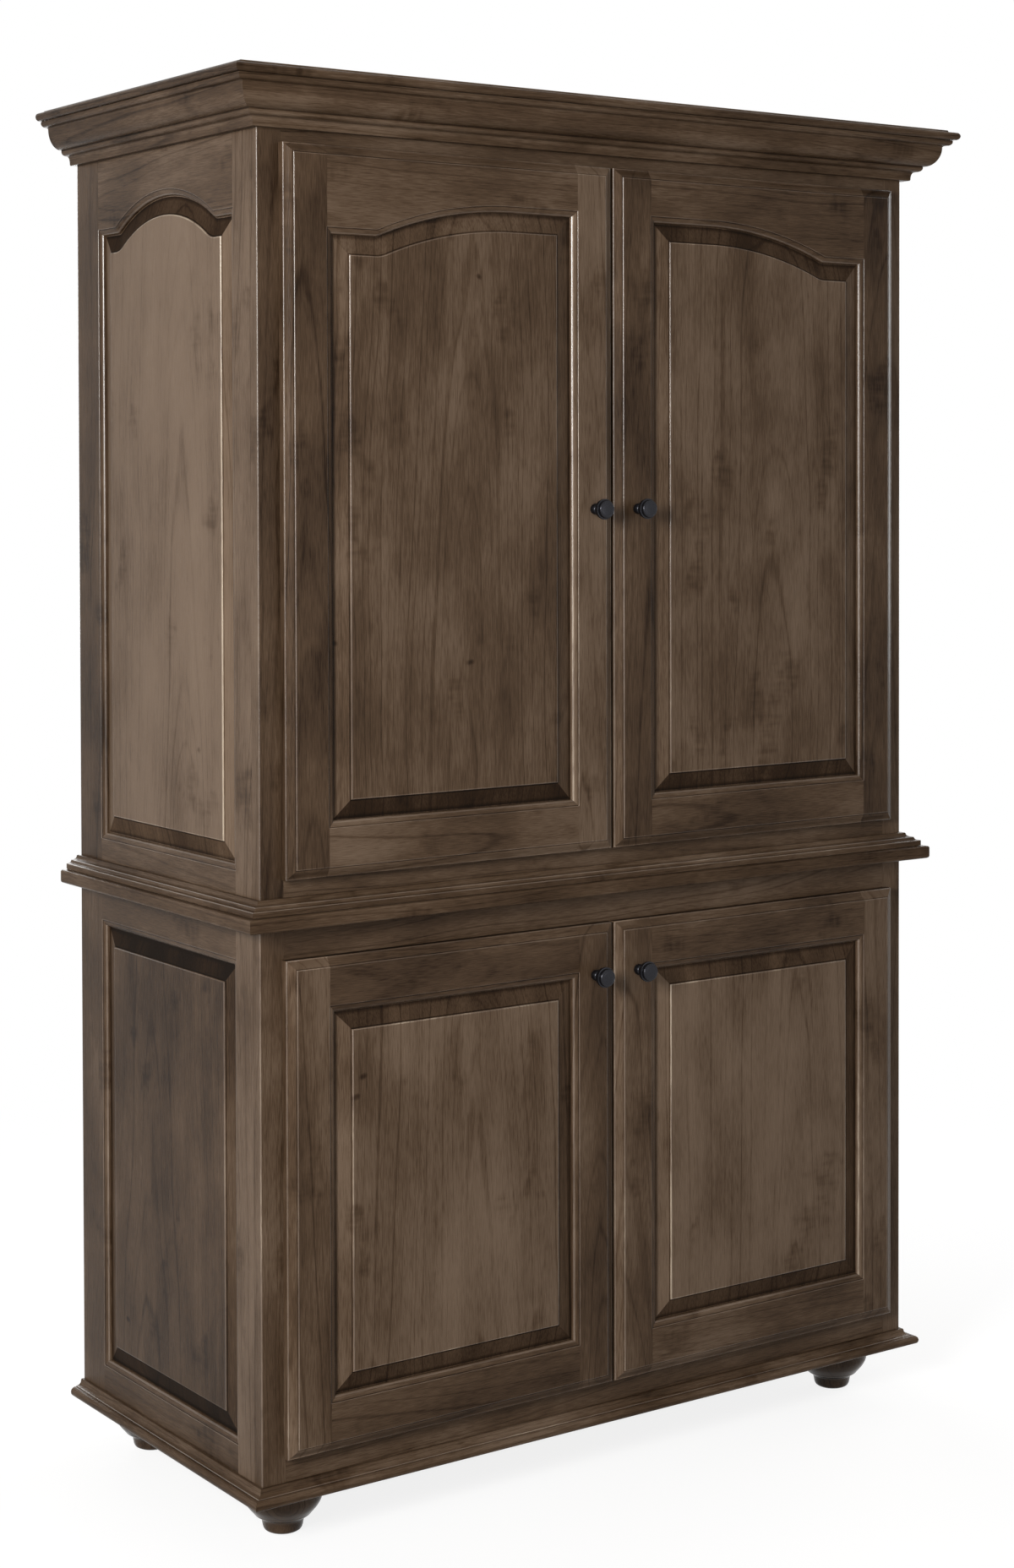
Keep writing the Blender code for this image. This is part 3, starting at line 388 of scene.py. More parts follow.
    # Short dark pores are the strongest fibres; knots are a few cells of a sparse scatter
    pore = node(tree, "ShaderNodeMapRange", {"Value": flecks, "From Min": 0.55, "From Max": 1.0},
                interpolation_type="SMOOTHSTEP").outputs[0]
    smudge = node(tree, "ShaderNodeMapRange", {"Value": field["smudge"], "From Min": 0.42,
                                               "From Max": 1.0},
                  interpolation_type="SMOOTHSTEP").outputs[0]
    ripple = node(tree, "ShaderNodeMath", {0: field["curl"], 1: smudge}, operation="MULTIPLY").outputs[0]
    spread = node(tree, "ShaderNodeSeparateXYZ", {0: place})
    cell_place = node(tree, "ShaderNodeCombineXYZ", {0: spread.outputs["X"],
                                                     1: spread.outputs["Z"]}).outputs[0]
    crooked = node(tree, "ShaderNodeMath", {0: field["smudge"], 1: 0.007}, operation="MULTIPLY")
    cell_moved = node(tree, "ShaderNodeVectorMath", {0: cell_place, 1: crooked.outputs[0]},
                      operation="ADD").outputs[0]
    # One cell to about 240 mm across and 180 mm along the grain; one in ten holds a knot of 15 mm
    cell_scaled = node(tree, "ShaderNodeVectorMath", {0: cell_moved, 1: (4.2, 5.5, 1.0)},
                       operation="MULTIPLY").outputs[0]
    cells = node(tree, "ShaderNodeTexVoronoi", {"Vector": cell_scaled, "Scale": 1.0},
                 voronoi_dimensions="2D")
    near = node(tree, "ShaderNodeMapRange", {"Value": cells.outputs["Distance"], "From Min": 0.034,
                                             "From Max": 0.004},
                interpolation_type="SMOOTHSTEP").outputs[0]
    draw = node(tree, "ShaderNodeSeparateColor", {0: cells.outputs["Color"]}).outputs[0]
    few = node(tree, "ShaderNodeMath", {0: draw, 1: 0.90}, operation="GREATER_THAN").outputs[0]
    knot = node(tree, "ShaderNodeMath", {0: near, 1: few}, operation="MULTIPLY").outputs[0]
    # Darker where end grain took more stain, on the doors' level narrow sides, and as painted shade on
    # end grain facing down and on faces turned to the right
    soaked = node(tree, "ShaderNodeMapRange", {"Value": ends, "From Min": 0.03, "From Max": 0.22},
                  interpolation_type="SMOOTHSTEP").outputs[0]
    # Glaze and painted shade deep in a panel's bevel and in hollow corners
    glaze_and_shade = node(tree, "ShaderNodeMapRange", {"Value": recess, "From Min": 0.82, "From Max": 1.0},
                 interpolation_type="SMOOTHSTEP").outputs[0]
    uneven = node(tree, "ShaderNodeMapRange", {"Value": field["streak"], "From Min": -1.0,
                                               "To Min": 0.55}).outputs[0]
    # Eased edges are paler: partly stain sanded thin, partly painted highlight; less on rounds turned to
    # the right or running level, and darker on upper bevels, as painted shade
    worn = node(tree, "ShaderNodeMath", {0: rubbed, 1: uneven}, operation="MULTIPLY").outputs[0]

    # All of these shift one tone between the darkest and the rubbed stain; the end-grain and glaze shifts
    # also carry painted shade
    shifts = [(field["streak"], 0.055), (field["blotch"], 0.13), (flecks, 0.10),
              (ripple, 0.06), (ring, -0.15), (pore, -0.07), (smudge, -0.10), (soaked, -0.32),
              (glaze_and_shade, -0.22), (tone, 1.0)]
    if staves:
        sideways = node(tree, "ShaderNodeMath", {0: spread.outputs["X"], 1: 1 / sizes.stave_width},
                        operation="MULTIPLY").outputs[0]
        count = node(tree, "ShaderNodeMath", {0: sideways}, operation="FLOOR").outputs[0]
        chance = node(tree, "ShaderNodeTexWhiteNoise", {"W": count}, noise_dimensions="1D")
        shifts += [(chance.outputs["Value"], 0.06), (knot, -0.25)]
        shade -= 0.03
    total = shade
    for source, weight in shifts:
        total = node(tree, "ShaderNodeMath", {0: source, 1: weight, 2: total},
                     operation="MULTIPLY_ADD").outputs[0]
    # No streak is paler than the light stain; only sanded edges are, which also carry painted highlight
    held = node(tree, "ShaderNodeMath", {0: total, 1: 0.76, 2: 0.25},
                operation="SMOOTH_MIN").outputs[0]
    final = node(tree, "ShaderNodeMath", {0: worn, 1: 0.19, 2: held},
                 operation="MULTIPLY_ADD").outputs[0]
    ramp = node(tree, "ShaderNodeValToRGB", {0: final})
    stops = [(0.0, tints.stain_darkest), (0.25, tints.stain_dark), (0.5, tints.stain_middle),
             (0.75, tints.stain_light), (1.0, tints.stain_rubbed)]
    while len(ramp.color_ramp.elements) < len(stops):
        ramp.color_ramp.elements.new(0.5)
    for element, (at, tint) in zip(ramp.color_ramp.elements, stops):
        element.position = at
        element.color = (*tint, 1.0)

    # The lacquer fills the fibres a little unevenly, so gloss and height follow them
    rough = node(tree, "ShaderNodeMath", {0: flecks, 1: 0.05, 2: roughness},
                 operation="MULTIPLY_ADD").outputs[0]
    # End grain drinks the lacquer and stays nearly matt; eased edges are rubbed to a polish
    matt = node(tree, "ShaderNodeMath", {0: soaked, 1: 0.35, 2: rough},
                operation="MULTIPLY_ADD").outputs[0]
    gloss = node(tree, "ShaderNodeMath", {0: rubbed, 1: -0.10, 2: matt},
                 operation="MULTIPLY_ADD").outputs[0]
    polish = node(tree, "ShaderNodeMapRange", {"Value": rubbed, "From Min": 0.5}).outputs[0]
    height = node(tree, "ShaderNodeMath", {0: pore, 1: -1.6, 2: flecks},
                  operation="MULTIPLY_ADD").outputs[0]
    bump = node(tree, "ShaderNodeBump", {"Strength": 0.30, "Distance": 0.0003, "Height": height})
    shader = node(tree, "ShaderNodeBsdfPrincipled",
                  {"Base Color": ramp.outputs["Color"], "Roughness": gloss, "IOR": 1.45,
                   "Specular IOR Level": sheen, "Normal": bump.outputs["Normal"],
                   "Coat Weight": polish, "Coat Roughness": 0.25, "Coat IOR": 1.5})
    node(tree, "ShaderNodeOutputMaterial", {"Surface": shader.outputs[0]})
    return material


def blackened_bronze():
    """Cast bronze, blackened and waxed: near black, satin, with paler ring edges from handling."""
    name = "blackened_bronze_cast_and_waxed"
    if name in bpy.data.materials:
        return bpy.data.materials[name]
    tints = bpy.context.scene.cabinet_colours
    material = new_material(name)
    tree = material.node_tree
    where = node(tree, "ShaderNodeTexCoord").outputs["Object"]
    # Cast skin of about 0.8 mm grains, and wax patches of about 6 mm
    skin = node(tree, "ShaderNodeTexNoise", {"Vector": where, "Scale": 1 / 0.0008, "Detail": 2.0})
    wax = node(tree, "ShaderNodeTexNoise", {"Vector": where, "Scale": 1 / 0.006, "Detail": 2.0})
    rubbed = node(tree, "ShaderNodeAttribute", attribute_name="rubbed").outputs["Fac"]
    worn = node(tree, "ShaderNodeMath", {0: rubbed, 1: wax.outputs["Fac"]}, operation="MULTIPLY")
    tint = node(tree, "ShaderNodeMix", {"Factor": worn.outputs[0], "A": (*tints.knob_black, 1),
                                        "B": (*tints.knob_rubbed, 1)}, data_type="RGBA")
    rough = node(tree, "ShaderNodeMapRange", {"Value": wax.outputs["Fac"], "From Min": 0.3,
                                              "From Max": 0.7, "To Min": 0.22, "To Max": 0.34})
    bump = node(tree, "ShaderNodeBump", {"Strength": 0.25, "Distance": 0.0001,
                                         "Height": skin.outputs["Fac"]})
    shader = node(tree, "ShaderNodeBsdfPrincipled",
                  {"Base Color": tint.outputs["Result"], "Metallic": 0.8,
                   "Roughness": rough.outputs[0], "Normal": bump.outputs["Normal"]})
    node(tree, "ShaderNodeOutputMaterial", {"Surface": shader.outputs[0]})
    return material


def nickel_plated_steel():
    """Pressed steel with bright nickel: pale grey, with faint drawn lines and soft fingerprints."""
    name = "nickel_plated_steel_pressed"
    if name in bpy.data.materials:
        return bpy.data.materials[name]
    tints = bpy.context.scene.cabinet_colours
    material = new_material(name)
    tree = material.node_tree
    where = node(tree, "ShaderNodeTexCoord").outputs["Object"]
    # Drawing lines of about 0.4 mm that run upright, and prints of about 12 mm
    drawn = node(tree, "ShaderNodeVectorMath", {0: where, 1: (2500.0, 2500.0, 60.0)},
                 operation="MULTIPLY").outputs[0]
    lines = node(tree, "ShaderNodeTexNoise", {"Vector": drawn, "Scale": 1.0, "Detail": 2.0})
    prints = node(tree, "ShaderNodeTexNoise", {"Vector": where, "Scale": 1 / 0.012, "Detail": 3.0})
    shade = [0.62 * part for part in tints.hinge_nickel]
    tint = node(tree, "ShaderNodeMix", {"Factor": prints.outputs["Fac"], "A": (*shade, 1),
                                        "B": (*tints.hinge_nickel, 1)}, data_type="RGBA")
    rough = node(tree, "ShaderNodeMapRange", {"Value": prints.outputs["Fac"], "From Min": 0.3,
                                              "From Max": 0.7, "To Min": 0.24, "To Max": 0.38})
    bump = node(tree, "ShaderNodeBump", {"Strength": 0.12, "Distance": 0.00005,
                                         "Height": lines.outputs["Fac"]})
    shader = node(tree, "ShaderNodeBsdfPrincipled",
                  {"Base Color": tint.outputs["Result"], "Metallic": 1.0,
                   "Roughness": rough.outputs[0], "Normal": bump.outputs["Normal"]})
    node(tree, "ShaderNodeOutputMaterial", {"Surface": shader.outputs[0]})
    return material


# Each slot's wood: its name, middle tone, roughness, specular level, and whether it is glued up
WOODS = {
    "frame_wood": ("stained_maple_planed", 0.50, 0.34, 0.08, False),
    "panel_wood": ("stained_maple_glued_up_and_raised", 0.53, 0.36, 0.08, True),
    "moulding_wood": ("stained_maple_moulded", 0.46, 0.32, 0.05, False),
    "foot_wood": ("stained_maple_turned", 0.42, 0.18, 0.12, False),
    "inside_wood": ("stained_maple_sanded_inside", 0.56, 0.52, 0.11, True),
}


# Mesh making
def loft(rings, rounded=None):
    """Skins rings of equal length and closes both ends.

    Returns the mesh and those faces that rounded(ring number, side number) calls eased edges.
    """
    bm = bmesh.new()
    loops = [[bm.verts.new(point) for point in ring] for ring in rings]
    count = len(loops[0])
    marked = set()
    for k, (low, high) in enumerate(zip(loops, loops[1:])):
        for i in range(count):
            j = (i + 1) % count
            face = bm.faces.new((low[i], low[j], high[j], high[i]))
            if rounded and rounded(k, i):
                marked.add(face)
    bm.faces.new(loops[0][::-1])
    bm.faces.new(loops[-1])
    return bm, marked


def sweep(outline, place, start, end):
    """Runs a flat outline straight from one station to another."""
    return loft([[place(a, b, station) for a, b in outline] for station in (start, end)])[0]


def board(low, high):
    """A square-edged board between two corners; its edges are eased with every other piece's."""
    (x0, y0, z0), (x1, y1, z1) = low, high
    outline = [(x0, y0), (x1, y0), (x1, y1), (x0, y1)]
    return sweep(outline, lambda a, b, station: (a, b, station), z0, z1)


def turned(profile, segments):
    """Turns a (radius, height) profile that starts and ends on the Z axis into a solid.

    The rings are laid one by one, because a spin with its seam merged orders its points anew each run.
    """
    bm = bmesh.new()
    rings = []
    for radius, height in profile:
        count = segments if radius > ON_AXIS else 1
        turns = [2 * pi * k / segments for k in range(count)]
        rings.append([bm.verts.new((radius * cos(t), radius * sin(t), height)) for t in turns])
    for low, high in zip(rings, rings[1:]):
        for k in range(segments):
            if len(low) == 1:
                corners = (low[0], high[k], high[k - 1])
            elif len(high) == 1:
                corners = (low[k - 1], low[k], high[0])
            else:
                corners = (low[k - 1], low[k], high[k], high[k - 1])
            bm.faces.new(corners)
    return bm


def quarter(start, end, bulge_first, steps):
    """Quarter ellipse between two points, leaving the start along its first or second axis."""
    (a0, b0), (a1, b1) = start, end
    points = []
    for step in range(1, steps + 1):
        angle = pi / 2 * step / steps
        slow, fast = 1 - cos(angle), sin(angle)
        share_a, share_b = (fast, slow) if bulge_first else (slow, fast)
        points.append((a0 + (a1 - a0) * share_a, b0 + (b1 - b0) * share_b))
    return points


def curve_through(points, steps):
    """A smooth curve through points, each span cut into steps."""
    line = [Vector(p) for p in [points[0]] + points + [points[-1]]]
    curve = []
    for before, start, end, after in zip(line, line[1:], line[2:], line[3:]):
        for step in range(steps):
            t = step / steps
            lean_in, lean_out = (end - before) / 2, (after - start) / 2
            curve.append(start * (1 + 2 * t) * (1 - t) ** 2 + end * t * t * (3 - 2 * t)
                         + lean_in * t * (1 - t) ** 2 - lean_out * t * t * (1 - t))
    return [tuple(p) for p in curve] + [tuple(points[-1])]


def cad_shape(name):
    """A CAD node's own shape with its split corners welded and its flat faces whole again."""
    bm = bmesh.new()
    bm.from_mesh(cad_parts[name].data)
    bmesh.ops.remove_doubles(bm, verts=bm.verts, dist=1e-5)
    bmesh.ops.dissolve_limit(bm, angle_limit=FLAT_ANGLE, verts=bm.verts, edges=bm.edges)
    return bm


def ease_edges(bm, width, along):
    """Rounds the outer sharp edges a little and returns the faces of the rounds.

    Edges that close off the square or mitred end of a board along the given axis stay square.
    """
    bmesh.ops.recalc_face_normals(bm, faces=bm.faces)
    sharp = []
    for edge in bm.edges:
        if len(edge.link_faces) != 2 or not edge.is_convex or edge.calc_length() < SHORTEST_EASED:
            continue
        at_end = along is not None and any(abs(f.normal[along]) > END_SLANT for f in edge.link_faces)
        if not at_end and edge.calc_face_angle() > SHARP_ANGLE:
            sharp.append(edge)
    if not sharp or width <= 0:
        return set()
    made = bmesh.ops.bevel(bm, geom=sharp, offset=width, offset_type="OFFSET", segments=EASE_STEPS,
                           profile=0.5, affect="EDGES", clamp_overlap=False, loop_slide=True)
    bmesh.ops.dissolve_degenerate(bm, dist=SLIVER, edges=bm.edges)
    return {face for face in made["faces"] if face.is_valid}


def hollow_corners(bm):
    """Corners at the bottom of narrow routed steps, where wiping leaves the stain and painted shade is
    laid.
    """
    found = set()
    for edge in bm.edges:
        if len(edge.link_faces) != 2 or edge.is_convex or edge.calc_face_angle() <= HOLLOW_ANGLE:
            continue
        widest = HOLLOW_WIDTH * edge.calc_length()
        if all(face.calc_area() < widest for face in edge.link_faces):
            found.update(v.index for v in edge.verts)
    return found


def any_bend(edge):
    """Crisp edges of a raised panel: wherever two flat faces meet at more than a little."""
    return len(edge.link_faces) == 2 and edge.calc_face_angle() > CRISP_ANGLE


def mitre(edge):
    """Crisp edges of a stile: where its routed end meets its routed side on a slant."""
    run = edge.verts[1].co - edge.verts[0].co
    slanted = min(abs(run.x), abs(run.z)) > MITRE_SLANT * run.length
    return slanted and any_bend(edge)


def rubbing(face, rounded, axes, moulded, level, upper_bevel_shade):
    """How far a face is painted paler: eased edges most, routed faces some, flat ones not; partly
    stain sanded through, partly painted highlight.

    Rounds turned to the right and rounds that do not run upright get less, as painted shade.
    Below nought is painted shade on an upper bevel.
    """
    through, along = axes[1:]
    # Rounds turned to the right are rubbed less: painted shade
    if rounded and face.normal.x > FAR_ROUND_SLANT:
        return SHADED_FAR_ROUND_RUB
    if rounded:
        # Rounds that do not run upright get the level share, less than upright ones: painted shade
        return 1.0 if abs(face.normal.z) < UPRIGHT_SLANT else level
    # Upper bevels go below nought: painted shade
    if face.normal[along] > BEVEL_SLANT:
        return -upper_bevel_shade
    least, most = ROUTED_SLANTS
    return moulded if least < abs(face.normal[through]) < most else 0.0


def soaking(face, axes, ends, upper, edges, far):
    """How much darker a face is than wiped face grain: end grain that took up more stain, the level
    narrow sides, and painted shade on end grain facing down and on faces turned to the right.
    """
    through, along = axes[1:]
    # End grain facing up keeps only the upper share of its darkening: painted shade on what faces down
    most = max(ends * upper * face.normal[along], -ends * face.normal[along])
    if abs(face.normal[through]) < EDGE_SLANT and abs(face.normal.z) > LEVEL_SLANT:
        most = max(most, edges)
    # Faces turned to the right: painted shade
    if face.normal.x > FAR_SLANT:
        most = max(most, far)
    return most


def wooden(bm, axes, key, rounds=None, ease=None, tone=0.0, panel=None, ends_square=True, ends=0.15,
           upper=0.2, moulded=0.25, level=0.75, edges=0.0, far=0.0, upper_bevel_shade=0.0, lift=None, crease=None):
    """One board of a piece: its eased mesh with what the stain needs to know at each point.

    key seeds where the board lies in its log. rounds are the faces of edges eased already. panel
    gives a raised panel's depth at a point. ends says how much of the end grain was left open, and
    upper what share of that is kept where it faces up, so that end grain facing down is painted
    darker as painted shade. moulded says how far routed faces were sanded towards the bright edges,
    partly as painted highlight, level how far the rounds that do not run upright were, less than
    upright ones as painted shade. edges says how much darker the level narrow sides are, far how
    much painted shade lies on faces turned to the right, and the upper bevels' share how much
    painted shade lies on upper bevels. lift gives a paler tone at a point, on the face frames' left
    edges a painted sheen. crease says which edges stay crisp.
    """
    sizes = bpy.context.scene.cabinet_sizes
    across, through, along = axes
    if rounds is None:
        rounds = ease_edges(bm, sizes.ease if ease is None else ease, along if ends_square else None)
    bmesh.ops.recalc_face_normals(bm, faces=bm.faces)
    draw = random.Random(key)
    middle = [(min(v.co[k] for v in bm.verts) + max(v.co[k] for v in bm.verts)) / 2 for k in range(3)]
    pith = (draw.uniform(-0.09, 0.09), draw.uniform(0.045, 0.11), draw.uniform(-0.25, 0.25))
    seed = draw.uniform(1.0, 40.0)
    # A board's own tone, which on the left side also carries painted sheen and shade
    shade = tone + BOARD_STAIN_AND_SIDE_SHEEN.get(key, draw.uniform(-0.03, 0.03))
    bm.verts.index_update()
    points = [tuple(v.co) for v in bm.verts]
    hollows = hollow_corners(bm)
    laid = []
    for point in points:
        laid.append((point[across] - middle[across] + pith[0], point[through] - middle[through] + pith[1],
                     point[along] - middle[along] + pith[2]))
    made = {
        "points": points,
        "faces": [[v.index for v in face.verts] for face in bm.faces],
        "board": laid,
        "seed": [seed] * len(points),
        "tone": [shade + (lift(point) if lift else 0.0) for point in points],
        # Depth in a raised panel and hollow corners, for glaze and painted shade
        "recess": [max(panel(point) if panel else 0.0, HOLLOW_GLAZE_AND_SHADE if k in hollows else 0.0)
                   for k, point in enumerate(points)],
        "cut": [abs(face.normal[along]) for face in bm.faces],
        "creases": [tuple(v.index for v in edge.verts) for edge in bm.edges
                    if crease and rounds.isdisjoint(edge.link_faces) and crease(edge)],
        # Paler faces, partly sanded stain and partly painted highlight, with painted shade below nought
        "rubbed": [rubbing(face, face in rounds, axes, moulded, level, upper_bevel_shade) for face in bm.faces],
        # Darker faces: end grain, the level narrow sides, and painted shade
        "end_grain_and_shade": [0.0 if face in rounds else soaking(face, axes, ends, upper, edges, far)
                      for face in bm.faces],
    }
    bm.free()
    return made


def metal(bm, ease):
    """One metal form of a piece, with its ring edges marked as rubbed."""
    rounds = ease_edges(bm, ease, None)
    bm.verts.index_update()
    made = {
        "points": [tuple(v.co) for v in bm.verts],
        "faces": [[v.index for v in face.verts] for face in bm.faces],
        "rubbed": [1.0 if face in rounds else 0.0 for face in bm.faces],
    }
    bm.free()
    return made


ATTRIBUTES = {"board": ("FLOAT_VECTOR", "POINT", "vector"), "seed": ("FLOAT", "POINT", "value"),
              "tone": ("FLOAT", "POINT", "value"), "recess": ("FLOAT", "POINT", "value"),
              "rubbed": ("FLOAT", "FACE", "value"), "end_grain_and_shade": ("FLOAT", "FACE", "value"),
              "cut": ("FLOAT", "FACE", "value")}


def make_piece(name, forms, material, body, slot, *nodes):
    """Joins a piece's boards or forms into one object that rides on its body."""
    points, faces, creases = [], [], set()
    values = {key: [] for key in ATTRIBUTES if key in forms[0]}
    for form in forms:
        first = len(points)
        points += form["points"]
        faces += [[first + i for i in face] for face in form["faces"]]
        creases.update(frozenset((first + a, first + b)) for a, b in form.get("creases", ()))
        for key in values:
            values[key] += form[key]
    mesh = bpy.data.meshes.new(name)
    mesh.from_pydata(points, [], faces)
    for key, items in values.items():
        kind, domain, member = ATTRIBUTES[key]
        layer = mesh.attributes.new(key, kind, domain)
        plain = [part for item in items for part in item] if kind == "FLOAT_VECTOR" else items
        layer.data.foreach_set(member, plain)
    mesh.materials.append(material)
    mesh.shade_smooth()
    mesh.set_sharp_from_angle(angle=SMOOTH_ANGLE)
    for edge in mesh.edges:
        if frozenset(edge.vertices) in creases:
            edge.use_edge_sharp = True
    piece = bpy.data.objects.new(name, mesh)
    bpy.context.scene.collection.objects.link(piece)
    even = piece.modifiers.new("flat_faces_stay_flat", "WEIGHTED_NORMAL")
    even.keep_sharp = True
    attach(piece, body)
    if nodes:
        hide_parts(*nodes)


def wooden_piece(name, forms, slot, body="cabinet"):
    """A piece of boards in its slot's wood, in place of the CAD node of the same name."""
    make_piece(name, forms, stained_maple(*WOODS[slot]), body, slot, name)


def steel_piece(name, forms, body, *nodes):
    """A piece of plated steel."""
    make_piece(name, forms, nickel_plated_steel(), body, "nickel_steel", *nodes)


# Routed edges, as (distance in from the edge, depth behind the face, whether a round ends there)
def arc(start, end, inward_first):
    """The round of an eased edge."""
    return [(inset, depth, True) for inset, depth in quarter(start, end, inward_first, EASE_STEPS)]


def lip_profile(ease, thickness):
    """A door's outer edge: a small step down from the face, an ogee, the thin lip and its back."""
    def ogee(inset):
        share = inset / LIP_WIDTH
        return LIP_DROP + (LIP_STEP - LIP_DROP) * share * share * (3 - 2 * share)

    points = [(LIP_WIDTH + ease, 0, False)] + arc((LIP_WIDTH + ease, 0), (LIP_WIDTH, ease), True)
    for step in range(LIP_STEPS, -1, -1):
        inset = ease + (LIP_WIDTH - ease) * step / LIP_STEPS
        points.append((inset, ogee(inset), False))
    points += arc((ease, ogee(ease)), (0, LIP_DROP + ease), True)
    return points + back_edge(ease, thickness)


def stick_profile(ease, thickness):
    """The inner edge of a frame: a small step, then a quarter round down to the panel.

    The crown of the round is rubbed as the eased edges are, paler also as painted highlight.
    """
    soft = min(ease, 0.9 * STICK_STEP)
    points = [(STICK_WIDTH + soft, 0, False)]
    points += arc((STICK_WIDTH + soft, 0), (STICK_WIDTH, soft), True)
    points.append((STICK_WIDTH, STICK_STEP, False))
    bend = quarter((STICK_WIDTH, STICK_STEP), (0, STICK_DEPTH), True, STICK_STEPS)
    crown_start, crown_end = STICK_CROWN
    for k, (inset, depth) in enumerate(bend):
        points.append((inset, depth, crown_start <= k / STICK_STEPS < crown_end))
    return points + back_edge(ease, thickness)


def square_profile(ease, thickness):
    """A square edge, eased at the face."""
    return [(ease, 0, False)] + arc((ease, 0), (0, ease), True) + [(0, thickness, False)]


def plain_profile(thickness):
    """A square edge left sharp, where another piece covers it."""
    return [(0, 0, False), (0, thickness, False)]


def back_edge(ease, thickness):
    """The eased edge at a frame's back."""
    return [(0, thickness - ease, False)] + arc((0, thickness - ease), (ease, thickness), False)


def span_at(profile, depth):
    """The two neighbouring points of a profile that a depth lies between."""
    for before, after in zip(profile, profile[1:]):
        if depth <= after[1]:
            return before, after
    return profile[-2:]


def inset_at(profile, depth):
    """How far in a profile lies at a depth."""
    before, after = span_at(profile, depth)
    return before[0] + (after[0] - before[0]) * (depth - before[1]) / (after[1] - before[1])


# Arches: points along an opening's top edge with the normal that points into the rail
def flat_path(width):
    """A straight top."""
    return [(0, 0, 0, 1), (width, 0, 0, 1)]


def arch_path(width, rise, shoulder, crest):
    """Half arch: a flat shoulder, a small turn, one long sweep and a flat crest."""
    run = width - shoulder - crest
    span = (run * run + rise * rise) / (2 * rise)
    sweep_radius = span - ARCH_CORNER_RADIUS
    turn = acos(1 - rise / span)
    path = [(0, 0, 0, 1)]
    for step in range(CORNER_STEPS):
        angle = turn * step / CORNER_STEPS
        path.append((shoulder + ARCH_CORNER_RADIUS * sin(angle),
                     ARCH_CORNER_RADIUS * (1 - cos(angle)), -sin(angle), cos(angle)))
    for step in range(ARC_STEPS + 1):
        angle = turn * (1 - step / ARC_STEPS)
        path.append((width - crest - sweep_radius * sin(angle),
                     rise - sweep_radius * (1 - cos(angle)), -sin(angle), cos(angle)))
    if crest > 0:
        path.append((width, rise, 0, 1))
    return path


def full_arch_path(width, rise, shoulder):
    """A half arch and its mirror image."""
    half = arch_path(width / 2, rise, shoulder, 0)
    return half + [(width - u, v, -nu, nv) for u, v, nu, nv in half[-2::-1]]


def opening_loop(path, height, distance):
    """An opening's edge moved outward: bottom corners, then the top from right to left."""
    width = path[-1][0]
    points = [(u + nu * distance, height + v + nv * distance) for u, v, nu, nv in path]
    points[0] = (points[0][0] - distance, points[0][1])
    points[-1] = (points[-1][0] + distance, points[-1][1])
    return [(-distance, -distance), (width + distance, -distance)] + points[::-1]


def raised_panel(path, height, place):
    """A floating panel: tongue in the groove, sloping bevel, and an eased step up to the field."""
    foot = PANEL_SETBACK + PANEL_STEP
    slope = (GROOVE_FRONT - foot) / (PANEL_BEVEL - PANEL_MARGIN)
    ease = PANEL_SETBACK + PANEL_EASE
    stations = [(PANEL_TONGUE, GROOVE_BACK, False), (PANEL_TONGUE, GROOVE_FRONT, False),
                (-PANEL_MARGIN, GROOVE_FRONT, False),
                (HOLLOW_STRIP - PANEL_BEVEL, foot + HOLLOW_STRIP * slope, False),
                (-PANEL_BEVEL, foot, False), (-PANEL_BEVEL, ease, False)]
    stations += arc((-PANEL_BEVEL, ease), (-PANEL_BEVEL - PANEL_EASE, PANEL_SETBACK), False)
    rings = []
    for distance, depth, _ in stations:
        rings.append([place(u, v, depth) for u, v in opening_loop(path, height, distance)])
    return loft(rings, lambda ring, _: stations[ring + 1][2])


def panel_recess(depth):
    """How deep in a raised panel a depth lies: 0 on the field, 1 at the bottom of the bevel."""
    return max(0.0, min(1.0, (abs(depth) - PANEL_SETBACK) / (GROOVE_FRONT - PANEL_SETBACK)))


def stile_mesh(place, wide, tall, opening, outer, inner, ends, reach, bores=()):
    """A frame's upright in rings, one at each depth of its profiles.

    The inner profile runs between the opening's levels and is mitred into the rails there; reach
    is its width. Bores are the places of blind holes in the back for hinge cups.
    """
    low, high = opening
    depths = sorted({round(point[1], 7) for profile in (outer, inner, ends) for point in profile})
    joint = wide - reach - JOINT_LINE / 2
    rings = []
    for depth in depths:
        side, end, stuck = [inset_at(profile, depth) for profile in (outer, ends, inner)]
        edge, top, bottom = wide - stuck, high + stuck, low - stuck
        outline = [(side, end), (side, tall - end), (joint, tall - end), (joint, top), (edge, top),
                   (edge, bottom), (joint, bottom), (joint, end)]
        rings.append([place(u, v, depth) for u, v in outline])
    sides = (outer, ends, None, None, inner, None, None, ends)

    def rounded(k, i):
        return sides[i] is not None and span_at(sides[i], (depths[k] + depths[k + 1]) / 2)[1][2]

    bm, rounds = loft(rings, rounded)
    if bores:
        bm.faces.ensure_lookup_table()
        bore_back(bm, bm.faces[-1], bores, place, depths[-1])
    return bm, rounds


